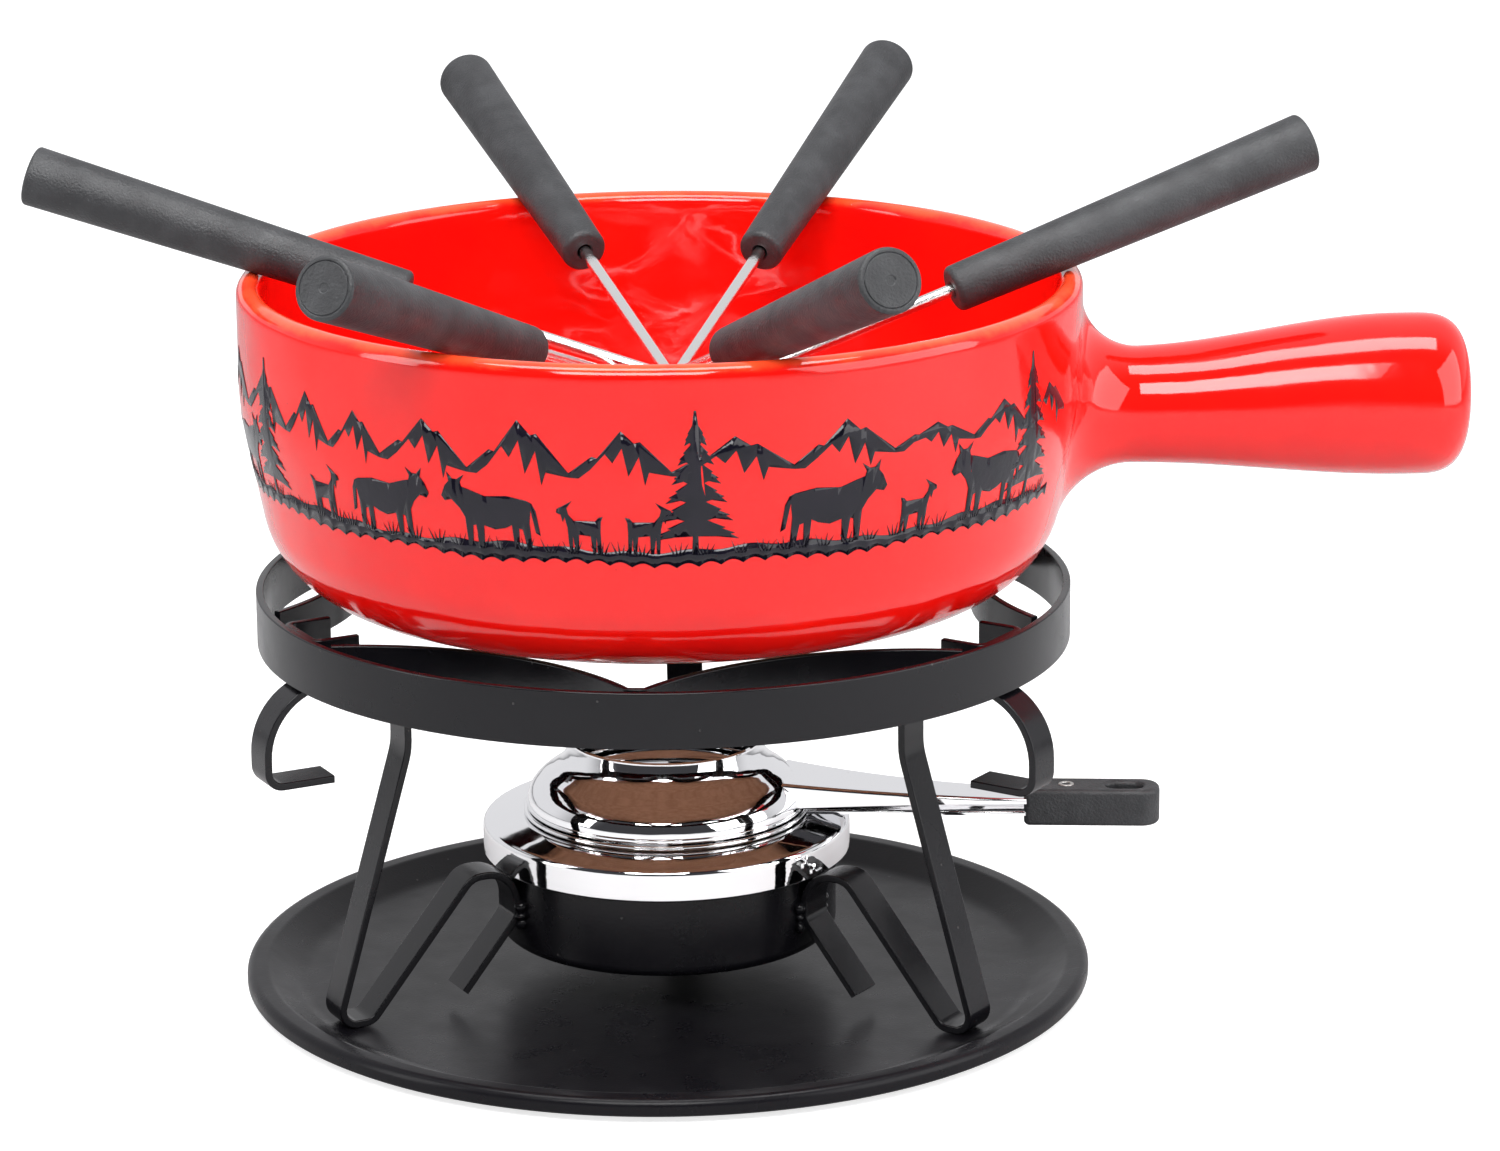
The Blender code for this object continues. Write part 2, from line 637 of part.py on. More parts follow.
def oval_cutter():
    """Upright cutter with the shape of the grip's hanging hole."""
    middle = GRIP_START + GRIP_LENGTH * GRIP_HOLE_SHARE
    half_straight = (GRIP_HOLE_LENGTH - GRIP_HOLE_WIDTH) / 2
    radius = GRIP_HOLE_WIDTH / 2
    rim = []
    for step in range(ROUND_SMALL):
        angle = 2 * math.pi * (step + 0.5) / ROUND_SMALL
        shift = math.copysign(half_straight, math.cos(angle))
        rim.append((middle + shift + math.cos(angle) * radius, math.sin(angle) * radius))
    builder = bmesh.new()
    levels = (GRIP_LEVEL - GRIP_HEIGHT, GRIP_LEVEL + GRIP_HEIGHT)
    rings = [[builder.verts.new((x, y, z)) for x, y in rim] for z in levels]
    builder.faces.new(rings[0])
    builder.faces.new(rings[1])
    for step in range(ROUND_SMALL):
        other = (step + 1) % ROUND_SMALL
        builder.faces.new((rings[0][step], rings[0][other], rings[1][other], rings[1][step]))
    return builder


def pin(radius, reach, spot):
    """Upright pin that reaches the same way up and down from its middle."""
    outline = [(0.0, -reach), (radius, -reach), (radius, reach), (0.0, reach)]
    return turned(outline, ROUND_PIN, spot)


def build_grip(finish, metal, axis):
    """Moulded grip over both lever ends, with a hanging hole and rivets."""
    centre = (GRIP_START + GRIP_LENGTH / 2, 0.0, GRIP_LEVEL)
    block = rounded_box((GRIP_LENGTH, GRIP_WIDTH, GRIP_HEIGHT), centre, GRIP_EDGE)
    grip = add_object("burner_grip", block, finish, axis)
    slot_start = GRIP_START - BORE_OVERSHOOT
    slot_length = LEVER_END + FIT - slot_start
    slot_height = DOME_ARM_TOP - PLATE_BOTTOM + 2 * FIT
    slot_size = (slot_length, LEVER_WIDTH + 2 * FIT, slot_height)
    slot = rounded_box(slot_size, (slot_start + slot_length / 2, 0.0, GRIP_LEVEL), 0.0)
    combine(grip, add_object("grip_slot", slot, finish, axis), "DIFFERENCE")
    combine(grip, add_object("grip_hole", oval_cutter(), finish, axis), "DIFFERENCE")
    pieces = [grip]
    for index, share in enumerate(RIVET_SHARES):
        spot = Matrix.Translation((GRIP_START + GRIP_LENGTH * share, 0.0, GRIP_LEVEL))
        reach = GRIP_HEIGHT / 2 + RIVET_PROUD
        rivet = pin(RIVET_RADIUS, reach, spot)
        pieces.append(add_object(f"grip_rivet_{index + 1}", rivet, metal, axis))
        for owner in (grip, bpy.data.objects["regulator_plate"], bpy.data.objects["snuffer_dome"]):
            bore = pin(RIVET_RADIUS + FIT, reach + BORE_OVERSHOOT, spot)
            combine(owner, add_object("rivet_bore", bore, metal, axis), "DIFFERENCE")
    return pieces


# ================================================================ pot
def pot_outline():
    """Closed (radius, height) outline of the bowl, floor, wall and bead."""
    foot = POT_RADIUS - POT_TAPER
    outer = rounded_path([
        (0.0, POT_BOTTOM, 0.0),
        (foot, POT_BOTTOM, POT_CORNER),
        (POT_RADIUS, POT_RIM - POT_STRAIGHT, POT_SHOULDER),
        (POT_RADIUS, BEAD_HEIGHT, 0.0),
    ])
    bead = []
    for step in range(1, 6):
        angle = math.pi * step / 6
        bead.append(Vector((BEAD_RADIUS + POT_BEAD * math.cos(angle),
                            BEAD_HEIGHT + POT_BEAD * math.sin(angle))))
    inner = rounded_path([
        (POT_INSIDE, BEAD_HEIGHT, 0.0),
        (POT_INSIDE, POT_RIM - POT_STRAIGHT, POT_SHOULDER),
        (foot - POT_WALL, POT_INNER_FLOOR, POT_CORNER - POT_WALL),
        (0.0, POT_INNER_FLOOR, 0.0),
    ])
    return pairs(outer + bead + inner)


def handle_section(travel):
    """Half width, half height and middle height at a distance from the wall."""
    share = min(max(travel / HANDLE_LENGTH, 0.0), 1.0)
    swell_share = min(max((share - 0.12) / 0.70, 0.0), 1.0)
    swell = swell_share ** 2 * (3 - 2 * swell_share)
    into = max(travel - (HANDLE_LENGTH - HANDLE_CAP), 0.0) / HANDLE_CAP
    cap = (1 - min(into, 1.0) ** 3.2) ** (1 / 3.2)
    left = max(HANDLE_FILLET - max(travel, 0.0), 0.0)
    flare = HANDLE_FILLET - math.sqrt(HANDLE_FILLET ** 2 - left ** 2)
    half_width = (HANDLE_NECK[0] + (HANDLE_END[0] - HANDLE_NECK[0]) * swell) * cap + flare * 0.8
    half_height = (HANDLE_NECK[1] + (HANDLE_END[1] - HANDLE_NECK[1]) * swell) * cap + flare
    return half_width, half_height, POT_RIM - HANDLE_DROP + HANDLE_RISE * swell


def handle_stations():
    """Distances from the wall at which the handle's outline is set."""
    fillet = [HANDLE_FILLET * (1 - math.cos(math.radians(15 * step))) for step in range(7)]
    straight_start = HANDLE_FILLET
    straight_end = HANDLE_LENGTH - HANDLE_CAP
    straight = [straight_start + (straight_end - straight_start) * step / 6 for step in range(1, 7)]
    cap = [straight_end + HANDLE_CAP * math.sin(math.radians(18 * step)) for step in range(1, 5)]
    return [-POT_WALL * 0.6] + fillet + straight + cap


def wall_radius(height):
    """Outer radius of the bowl at a height, between its outline's points."""
    outer = [point for point in pot_outline() if POT_BOTTOM < point[1] <= BEAD_HEIGHT]
    outer = [point for point in outer if point[0] > POT_INSIDE - POT_TAPER]
    for low, high in zip(outer, outer[1:]):
        if low[1] <= height <= high[1]:
            share = (height - low[1]) / max(high[1] - low[1], 1e-9)
            return low[0] + (high[0] - low[0]) * share
    return POT_RADIUS


def build_pot(finish):
    """Stoneware caquelon: bowl and side handle fired as one piece."""
    pot = add_object("fondue_pot", turned(pot_outline(), ROUND_LARGE), finish)
    builder = bmesh.new()
    sides = ROUND_HANDLE
    rings = []
    for travel in handle_stations():
        half_width, half_height, level = handle_section(travel)
        wrap = max(1 - max(travel, 0.0) / (2 * HANDLE_FILLET), 0.0)
        ring = []
        for step in range(sides):
            angle = 2 * math.pi * step / sides
            y = half_width * math.cos(angle)
            z = level + half_height * math.sin(angle)
            fall = POT_RADIUS - math.sqrt(wall_radius(z) ** 2 - y ** 2)
            ring.append(builder.verts.new((POT_RADIUS + travel - fall * wrap, y, z)))
        rings.append(ring)
    for ring, following in zip(rings, rings[1:]):
        for step in range(sides):
            other = (step + 1) % sides
            builder.faces.new((ring[step], ring[other], following[other], following[step]))
    builder.faces.new(rings[0])
    tip_level = handle_section(HANDLE_LENGTH)[2]
    tip = builder.verts.new((POT_RADIUS + HANDLE_LENGTH, 0.0, tip_level))
    for step in range(sides):
        builder.faces.new((rings[-1][step], rings[-1][(step + 1) % sides], tip))
    combine(pot, add_object("pot_handle", builder, finish), "UNION")
    return pot


# ================================================================ forks
def fork_frame(place):
    """Frame of a fork: origin at the butt, +Z towards the tines.

    The tines' tip stands tip_height above the pot's floor and tip_gap from its
    wall.  The handle's front end rests on the rim's bead on the other side.
    """
    azimuth = math.radians(place.azimuth)
    outward = Vector((math.cos(azimuth), math.sin(azimuth), 0.0))
    aside = Vector((-math.sin(azimuth), math.cos(azimuth), 0.0))
    to_bead = math.sqrt(BEAD_RADIUS ** 2 - place.side ** 2)
    to_tip = math.sqrt((POT_INSIDE - place.tip_gap) ** 2 - place.side ** 2)
    tip = aside * place.side - outward * to_tip
    tip.z = POT_INNER_FLOOR + place.tip_height
    tilt = math.radians(17.0)
    for _ in range(8):
        from_butt = FORK_LENGTH - (to_bead + to_tip) / math.cos(tilt)
        share = from_butt / FORK_HANDLE_LENGTH
        thick = FORK_BUTT_RADIUS + (FORK_TIP_RADIUS - FORK_BUTT_RADIUS) * share
        rest = POT_BEAD + FIT + max(FORK_TIP_RADIUS + FORK_REST_SWELL, thick + FIT)
        rise = BEAD_HEIGHT + rest / math.cos(tilt) - tip.z
        tilt = math.atan2(rise, to_bead + to_tip)
    back = outward * math.cos(tilt) + Vector((0.0, 0.0, math.sin(tilt)))
    butt = tip + back * FORK_LENGTH
    forward = -back
    upright = forward.cross(aside)
    return Matrix((
        (aside.x, upright.x, forward.x, butt.x),
        (aside.y, upright.y, forward.y, butt.y),
        (aside.z, upright.z, forward.z, butt.z),
        (0.0, 0.0, 0.0, 1.0),
    ))


def build_fork_handle(number, finish, axis):
    """Tapered plastic handle with a bore for the shaft's tang."""
    length = FORK_HANDLE_LENGTH
    bore = FORK_SHAFT_RADIUS + FIT
    bottom = length - FORK_TANG - FIT
    outline = [
        (0.0, 0.0),
        (FORK_BUTT_RADIUS - FORK_EDGE, 0.0),
        (FORK_BUTT_RADIUS, FORK_EDGE),
        (FORK_TIP_RADIUS, length - FORK_EDGE),
        (FORK_TIP_RADIUS - FORK_EDGE, length),
        (bore, length),
        (bore, bottom),
        (0.0, bottom),
    ]
    return add_object(f"fork_handle_{number}", turned(outline, ROUND_SMALL), finish, axis)


def tine_prism(points, thickness):
    """Flat prong plate from an outline in the fork's own X-Z plane."""
    builder = bmesh.new()
    half = thickness / 2
    layers = [[builder.verts.new((x, y, z)) for x, z in points] for y in (-half, half)]
    builder.faces.new(layers[0])
    builder.faces.new(layers[1])
    for index in range(len(points)):
        other = (index + 1) % len(points)
        side = (layers[0][index], layers[0][other], layers[1][other], layers[1][index])
        builder.faces.new(side)
    return builder


def build_fork_shaft(number, finish, axis):
    """Round steel shaft that spreads into three flat tines."""
    start = FORK_HANDLE_LENGTH - FORK_TANG
    tine_root = FORK_LENGTH - FORK_TINE_LENGTH
    shoulder = tine_root - FORK_TINE_FORK
    outline = [
        (0.0, start),
        (FORK_SHAFT_RADIUS, start),
        (FORK_SHAFT_RADIUS, shoulder + FORK_TINE_SEAT - FORK_TINE_EASE),
        (FORK_SHAFT_RADIUS / 2, shoulder + FORK_TINE_SEAT),
        (0.0, shoulder + FORK_TINE_SEAT),
    ]
    shaft = add_object(f"fork_shaft_{number}", turned(outline, ROUND_SHAFT), finish, axis)
    half = FORK_TINE_WIDTH / 2
    spread = FORK_TINE_SPREAD
    point_start = FORK_LENGTH - FORK_TINE_POINT
    right = [
        (FORK_SHAFT_RADIUS * 0.7, shoulder),
        (spread + half, tine_root - FORK_TINE_BEND),
        (spread + half, point_start),
        (spread, FORK_LENGTH),
        (spread - half, point_start),
        (spread - half, tine_root),
        (half, tine_root),
        (half, point_start),
        (0.0, FORK_LENGTH),
    ]
    left = [(-x, z) for x, z in right[:-1]][::-1]
    plate = tine_prism(right + left, FORK_TINE_THICKNESS)
    combine(shaft, add_object("tines", plate, finish, axis), "UNION")
    return shaft


# ================================================================ assembly
def main():
    """Build the whole set."""
    clear_scene()
    tray_black = material("tray_black", (0.018, 0.018, 0.019), 0.0, 0.42)
    stand_black = material("stand_black", (0.014, 0.014, 0.016), 0.0, 0.35)
    chrome = material("chrome", (0.80, 0.80, 0.81), 1.0, 0.08)
    gauze_steel = material("gauze_steel", (0.42, 0.41, 0.40), 1.0, 0.45)
    red_glaze = material("red_glaze", (0.72, 0.012, 0.008), 0.0, 0.12)
    fork_black = material("fork_black", (0.035, 0.036, 0.040), 0.0, 0.48)
    fork_steel = material("fork_steel", (0.70, 0.70, 0.71), 1.0, 0.16)

    build_tray(tray_black)
    build_ring(stand_black)
    for side, degrees in STAND_AZIMUTHS.items():
        azimuth = math.radians(degrees)
        build_leg(side, azimuth, stand_black)
        build_bracket(side, azimuth, stand_black)
    for side, leg in (("front", "left"), ("back_right", "right"), ("back_left", "rear")):
        azimuth = math.radians(STAND_AZIMUTHS[leg] + 60.0)
        build_pot_rest(side, azimuth, stand_black)
    build_cup(stand_black)

    build_burner_pan(chrome)
    build_wick_holder(gauze_steel)
    build_gauze(gauze_steel)
    lever_axis = add_empty("lever_axis", Matrix.Rotation(LEVER_AZIMUTH, 4, "Z"))
    build_regulator(chrome, lever_axis)
    build_dome(chrome, lever_axis)
    build_grip(fork_black, gauze_steel, lever_axis)

    build_pot(red_glaze)
    for number, place in enumerate(FORKS, start=1):
        fork_axis = add_empty(f"fork_axis_{number}", fork_frame(place))
        build_fork_handle(number, fork_black, fork_axis)
        build_fork_shaft(number, fork_steel, fork_axis)


main()
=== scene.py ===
"""Looks of a stoneware fondue set on a black strip-steel stand.

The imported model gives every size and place.  Each sub-assembly is a class
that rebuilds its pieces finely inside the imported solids, gives them their
finish and lets them ride on the body they belong to.  Units are metres.
"""
import json
import logging
import math
import random
from collections.abc import Callable, Sequence
from dataclasses import dataclass, field
from enum import Enum

import bmesh
import bpy
from mathutils import Matrix, Vector


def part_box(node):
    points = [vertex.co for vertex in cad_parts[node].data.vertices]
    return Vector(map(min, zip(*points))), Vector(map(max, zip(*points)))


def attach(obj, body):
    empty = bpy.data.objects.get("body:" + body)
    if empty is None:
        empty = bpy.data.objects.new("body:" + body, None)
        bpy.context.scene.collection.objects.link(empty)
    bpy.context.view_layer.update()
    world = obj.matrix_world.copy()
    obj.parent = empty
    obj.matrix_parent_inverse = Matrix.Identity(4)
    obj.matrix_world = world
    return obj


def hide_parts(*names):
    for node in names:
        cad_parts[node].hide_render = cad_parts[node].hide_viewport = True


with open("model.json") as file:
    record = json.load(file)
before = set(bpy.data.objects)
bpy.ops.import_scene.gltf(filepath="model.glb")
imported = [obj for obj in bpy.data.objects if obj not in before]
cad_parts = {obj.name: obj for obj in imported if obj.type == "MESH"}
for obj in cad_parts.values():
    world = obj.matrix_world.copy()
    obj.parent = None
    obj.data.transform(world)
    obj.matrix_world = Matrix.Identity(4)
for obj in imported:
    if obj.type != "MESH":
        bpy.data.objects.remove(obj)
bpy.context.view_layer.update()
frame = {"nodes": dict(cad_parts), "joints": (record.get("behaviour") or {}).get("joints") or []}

LOG = logging.getLogger("fondue_set")
FORK_COUNT = 6
Point = tuple[float, float]
Outline = list[Point]
Place = Callable[[float, float, float], Vector]


class Slot(Enum):
    """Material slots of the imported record."""

    TRAY_BLACK = "tray_black"
    STAND_BLACK = "stand_black"
    CHROME = "chrome"
    GAUZE_STEEL = "gauze_steel"
    RED_GLAZE = "red_glaze"
    FORK_BLACK = "fork_black"
    FORK_STEEL = "fork_steel"


class Body(Enum):
    """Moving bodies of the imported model; the forks have one each."""

    TRAY = "tray"
    STAND = "stand"
    BURNER = "burner"
    BURNER_HEAD = "burner_head"
    POT = "pot"


class Across(Enum):
    """Direction of a bent strip's width."""

    UPRIGHT = (0.0, 0.0, 1.0)


# ================================================================ node graphs
class Graph:
    """Short way to add nodes to a tree and to join their sockets."""

    def __init__(self, tree: bpy.types.NodeTree) -> None:
        """Keep the tree that the nodes go into.

        Args:
            tree: Shader or geometry node tree.
        """
        self.tree = tree

    def add(self, kind: str, inputs: dict | None = None, **settings) -> bpy.types.Node:
        """Add a node, set its options and feed its inputs.

        Args:
            kind: Node type name.
            inputs: Values or sockets by input name or index.
            settings: Node properties to set first.

        Returns:
            The new node.
        """
        node = self.tree.nodes.new(kind)
        for name, value in settings.items():
            setattr(node, name, value)
        for key, value in (inputs or {}).items():
            self.feed(node.inputs[key], value)
        return node

    def feed(self, socket: bpy.types.NodeSocket, value: object) -> None:
        """Link a socket into an input, or set the input's own value.

        Args:
            socket: Input to feed.
            value: Another socket, or a plain value.
        """
        if isinstance(value, bpy.types.NodeSocket):
            self.tree.links.new(value, socket)
        else:
            socket.default_value = value

    def math(self, operation: str, *values: object) -> bpy.types.NodeSocket:
        """Add a Math node and return its result.

        Args:
            operation: Math operation name.
            values: One to three sockets or numbers.

        Returns:
            The result socket.
        """
        node = self.add("ShaderNodeMath", dict(enumerate(values)), operation=operation)
        return node.outputs[0]

    def mix(self, factor: object, first: object, second: object) -> bpy.types.NodeSocket:
        """Mix two colours.

        Args:
            factor: Share of the second colour.
            first: Colour at factor 0.
            second: Colour at factor 1.

        Returns:
            The mixed colour socket.
        """
        node = self.add("ShaderNodeMix", {0: factor, 6: first, 7: second}, data_type="RGBA")
        return node.outputs[2]

    def ramp(self, value: object, low: float, high: float, to_low: object = 0.0,
             to_high: object = 1.0) -> bpy.types.NodeSocket:
        """Map a value smoothly from one range to another.

        Args:
            value: Value to map.
            low: Start of the incoming range.
            high: End of the incoming range.
            to_low: Result at the start.
            to_high: Result at the end.

        Returns:
            The mapped value socket.
        """
        inputs = {"Value": value, "From Min": low, "From Max": high, "To Min": to_low,
                  "To Max": to_high}
        node = self.add("ShaderNodeMapRange", inputs, interpolation_type="SMOOTHSTEP")
        return node.outputs["Result"]


class GroupBook:
    """Shader node groups shared by the finishes, each made once."""

    def __init__(self) -> None:
        """Start with no group made."""
        self.made: dict[str, bpy.types.NodeTree] = {}

    def place(self, graph: Graph, name: str, **values: object) -> bpy.types.NodeSocket:
        """Put a shared group into a material.

        Args:
            graph: The material's graph.
            name: Method of this class that makes the group.
            values: Group inputs by name, with _ for a space.

        Returns:
            The group's only output socket.
        """
        if name not in self.made:
            self.made[name] = getattr(self, name)()
        inputs = {key.replace("_", " "): value for key, value in values.items()}
        node = graph.add("ShaderNodeGroup", node_tree=self.made[name])
        for key, value in inputs.items():
            graph.feed(node.inputs[key], value)
        return node.outputs[0]

    @staticmethod
    def start(name: str, result: str, **inputs: float | None) -> tuple[Graph, dict, Callable]:
        """Open a new group with named sockets.

        Args:
            name: Group name.
            result: Name of its output.
            inputs: Default value of each float input, or None for a vector.

        Returns:
            The graph, its inputs by name, and a function that closes the group.
        """
        tree = bpy.data.node_groups.new(name, "ShaderNodeTree")
        for key, value in inputs.items():
            kind = "NodeSocketVector" if value is None else "NodeSocketFloat"
            socket = tree.interface.new_socket(key.replace("_", " "), in_out="INPUT", socket_type=kind)
            if value is not None:
                socket.default_value = value
        tree.interface.new_socket(result, in_out="OUTPUT", socket_type="NodeSocketFloat")
        graph = Graph(tree)
        source = graph.add("NodeGroupInput")
        sockets = {key: source.outputs[key.replace("_", " ")] for key in inputs}
        sink = graph.add("NodeGroupOutput")

        def close(socket: bpy.types.NodeSocket) -> bpy.types.NodeTree:
            """Feed the group's output and return its tree."""
            graph.feed(sink.inputs[0], socket)
            return tree

        return graph, sockets, close

    def mottle(self) -> bpy.types.NodeTree:
        """Slow patchy change between two values, for gloss and tone."""
        graph, at, close = self.start("mottle", "Value", Vector=None, Scale=40.0, Low=0.0, High=1.0)
        noise = graph.add("ShaderNodeTexNoise", {
            "Vector": at["Vector"], "Scale": at["Scale"], "Detail": 4.0, "Roughness": 0.6})
        return close(graph.ramp(noise.outputs["Fac"], 0.32, 0.68, at["Low"], at["High"]))

    def grain(self) -> bpy.types.NodeTree:
        """Height of a fine moulded or sprayed surface."""
        graph, at, close = self.start("grain", "Height", Vector=None, Scale=900.0, Ripple=0.3)
        fine = graph.add("ShaderNodeTexNoise", {
            "Vector": at["Vector"], "Scale": at["Scale"], "Detail": 2.0, "Roughness": 0.5})
        coarse_scale = graph.math("MULTIPLY", at["Scale"], 0.12)
        coarse = graph.add("ShaderNodeTexNoise", {
            "Vector": at["Vector"], "Scale": coarse_scale, "Detail": 1.0})
        ripple = graph.math("MULTIPLY", coarse.outputs["Fac"], at["Ripple"])
        return close(graph.math("ADD", fine.outputs["Fac"], ripple))

    def speckle(self) -> bpy.types.NodeTree:
        """Mask of small scattered dots, as pinholes or dust specks."""
        graph, at, close = self.start("speckle", "Mask", Vector=None, Scale=300.0, Size=0.12,
                                      Share=0.4)
        cells = graph.add("ShaderNodeTexVoronoi", {"Vector": at["Vector"], "Scale": at["Scale"]})
        edge = graph.math("SUBTRACT", at["Size"], cells.outputs["Distance"])
        dot = graph.ramp(edge, 0.0, 0.04)
        pick = graph.add("ShaderNodeSeparateColor", {0: cells.outputs["Color"]})
        chosen = graph.math("LESS_THAN", pick.outputs[0], at["Share"])
        return close(graph.math("MULTIPLY", dot, chosen))

    def edge_wear(self) -> bpy.types.NodeTree:
        """Mask of edges and corners, broken up so that it looks handled."""
        graph, at, close = self.start("edge_wear", "Mask", Vector=None, Radius=0.0008, Breakup=60.0)
        rounded = graph.add("ShaderNodeBevel", {"Radius": at["Radius"]}, samples=4)
        flat = graph.add("ShaderNodeNewGeometry")
        match = graph.add("ShaderNodeVectorMath", {0: rounded.outputs[0], 1: flat.outputs["Normal"]},
                          operation="DOT_PRODUCT")
        bend = graph.math("SUBTRACT", 1.0, match.outputs["Value"])
        edge = graph.ramp(bend, 0.02, 0.20)
        noise = graph.add("ShaderNodeTexNoise", {
            "Vector": at["Vector"], "Scale": at["Breakup"], "Detail": 3.0})
        broken = graph.ramp(noise.outputs["Fac"], 0.40, 0.62)
        return close(graph.math("MULTIPLY", edge, broken))

    def dust(self) -> bpy.types.NodeTree:
        """Mask of faint dust that lies on faces turned upwards."""
        graph, at, close = self.start("dust", "Mask", Vector=None, Scale=70.0, Amount=0.3)
        normal = graph.add("ShaderNodeNewGeometry")
        parts = graph.add("ShaderNodeSeparateXYZ", {0: normal.outputs["Normal"]})
        upward = graph.ramp(parts.outputs["Z"], 0.5, 1.0)
        noise = graph.add("ShaderNodeTexNoise", {
            "Vector": at["Vector"], "Scale": at["Scale"], "Detail": 6.0, "Roughness": 0.7})
        patches = graph.ramp(noise.outputs["Fac"], 0.45, 0.75)
        return close(graph.math("MULTIPLY", graph.math("MULTIPLY", upward, patches), at["Amount"]))


GROUPS = GroupBook()


# ================================================================ finishes
def new_material(name: str, **constants: float) -> tuple[bpy.types.Material, Graph, dict]:
    """Open a material with one Principled shader.

    Args:
        name: Material name.
        constants: Plain shader values by input name, with _ for a space.

    Returns:
        The material, its graph, and the shader's inputs with the object's coordinates.
    """
    material = bpy.data.materials.new(name)
    material.use_nodes = True
    graph = Graph(material.node_tree)
    shader = material.node_tree.nodes["Principled BSDF"]
    for key, value in constants.items():
        shader.inputs[key.replace("_", " ")].default_value = value
    coordinates = graph.add("ShaderNodeTexCoord").outputs["Object"]
    return material, graph, {"shader": shader.inputs, "at": coordinates}


def bumped(graph: Graph, parts: dict, height: object, distance: float, strength: float = 1.0) -> None:
    """Feed the shader's normal from a height.

    Args:
        graph: The material's graph.
        parts: What new_material returned.
        height: Height socket.
        distance: Depth of the relief in metres.
        strength: Share of the relief that shows.
    """
    bump = graph.add("ShaderNodeBump", {"Height": height, "Distance": distance, "Strength": strength})
    graph.feed(parts["shader"]["Normal"], bump.outputs[0])


@dataclass(frozen=True)
class PaintFinish:
    """Sprayed black paint on steel, worn a little along its edges."""

    name: str
    colour: tuple[float, float, float, float]
    worn: tuple[float, float, float, float]
    gloss: tuple[float, float]
    grain_scale: float
    grain_depth: float
    dust: float
    sheen: float

    def build(self) -> bpy.types.Material:
        """Make the material."""
        material, graph, parts = new_material(self.name, Specular_IOR_Level=self.sheen)
        at, shader = parts["at"], parts["shader"]
        wear = GROUPS.place(graph, "edge_wear", Vector=at, Radius=0.0007, Breakup=90.0)
        dust = GROUPS.place(graph, "dust", Vector=at, Scale=110.0, Amount=self.dust)
        specks = GROUPS.place(graph, "speckle", Vector=at, Scale=240.0, Size=0.10, Share=0.10)
        colour = graph.mix(graph.math("MULTIPLY", wear, 0.6), self.colour, self.worn)
        grey = (0.16, 0.155, 0.15, 1.0)
        colour = graph.mix(dust, colour, grey)
        colour = graph.mix(graph.math("MULTIPLY", specks, 0.25), colour, grey)
        graph.feed(shader["Base Color"], colour)
        gloss = GROUPS.place(graph, "mottle", Vector=at, Scale=55.0, Low=self.gloss[0],
                             High=self.gloss[1])
        graph.feed(shader["Roughness"], graph.math("ADD", gloss, graph.math("MULTIPLY", dust, 0.4)))
        grain = GROUPS.place(graph, "grain", Vector=at, Scale=self.grain_scale, Ripple=0.8)
        bumped(graph, parts, grain, self.grain_depth)
        return material


@dataclass(frozen=True)
class GlazeFinish:
    """Glossy red glaze that thins to orange on the rim, bare clay below."""

    name: str
    rim: float
    foot: float

    def build(self) -> bpy.types.Material:
        """Make the material."""
        material, graph, parts = new_material(self.name, IOR=1.45, Coat_Roughness=0.02)
        at, shader = parts["at"], parts["shader"]
        height = graph.add("ShaderNodeSeparateXYZ", {0: at}).outputs["Z"]
        tone = GROUPS.place(graph, "mottle", Vector=at, Scale=26.0, Low=0.0, High=1.0)
        red = graph.mix(tone, (0.80, 0.0060, 0.0030, 1.0), (0.73, 0.0040, 0.0030, 1.0))
        pool = GROUPS.place(graph, "mottle", Vector=at, Scale=90.0, Low=0.0, High=0.0012)
        level = graph.math("ADD", height, pool)
        thin = graph.ramp(level, self.rim - 0.0016, self.rim + 0.0008)
        red = graph.mix(graph.math("MULTIPLY", thin, 0.75), red, (0.86, 0.085, 0.022, 1.0))
        edge = GROUPS.place(graph, "edge_wear", Vector=at, Radius=0.0016, Breakup=35.0)
        red = graph.mix(graph.math("MULTIPLY", edge, 0.5), red, (0.84, 0.050, 0.015, 1.0))
        pinholes = GROUPS.place(graph, "speckle", Vector=at, Scale=170.0, Size=0.055, Share=0.12)
        red = graph.mix(graph.math("MULTIPLY", pinholes, 0.55), red, (0.30, 0.004, 0.003, 1.0))
        bare = graph.ramp(height, self.foot + 0.0019, self.foot + 0.0015)
        clay_tone = GROUPS.place(graph, "mottle", Vector=at, Scale=160.0, Low=0.0, High=1.0)
        clay = graph.mix(clay_tone, (0.36, 0.155, 0.080, 1.0), (0.46, 0.215, 0.120, 1.0))
        graph.feed(shader["Base Color"], graph.mix(bare, red, clay))
        gloss = GROUPS.place(graph, "mottle", Vector=at, Scale=30.0, Low=0.05, High=0.11)
        graph.feed(shader["Roughness"], graph.math("ADD", gloss, graph.math("MULTIPLY", bare, 0.65)))
        graph.feed(shader["Coat Weight"], graph.math("MULTIPLY", graph.math("SUBTRACT", 1.0, bare), 0.2))
        waves = graph.add("ShaderNodeTexNoise", {
            "Vector": at, "Scale": 34.0, "Detail": 1.5, "Roughness": 0.45}).outputs["Fac"]
        dimples = graph.add("ShaderNodeTexNoise", {
            "Vector": at, "Scale": 190.0, "Detail": 1.0}).outputs["Fac"]
        relief = graph.math("ADD", waves, graph.math("MULTIPLY", dimples, 0.05))
        relief = graph.math("SUBTRACT", relief, graph.math("MULTIPLY", pinholes, 0.05))
        bumped(graph, parts, relief, 0.0011)
        return material


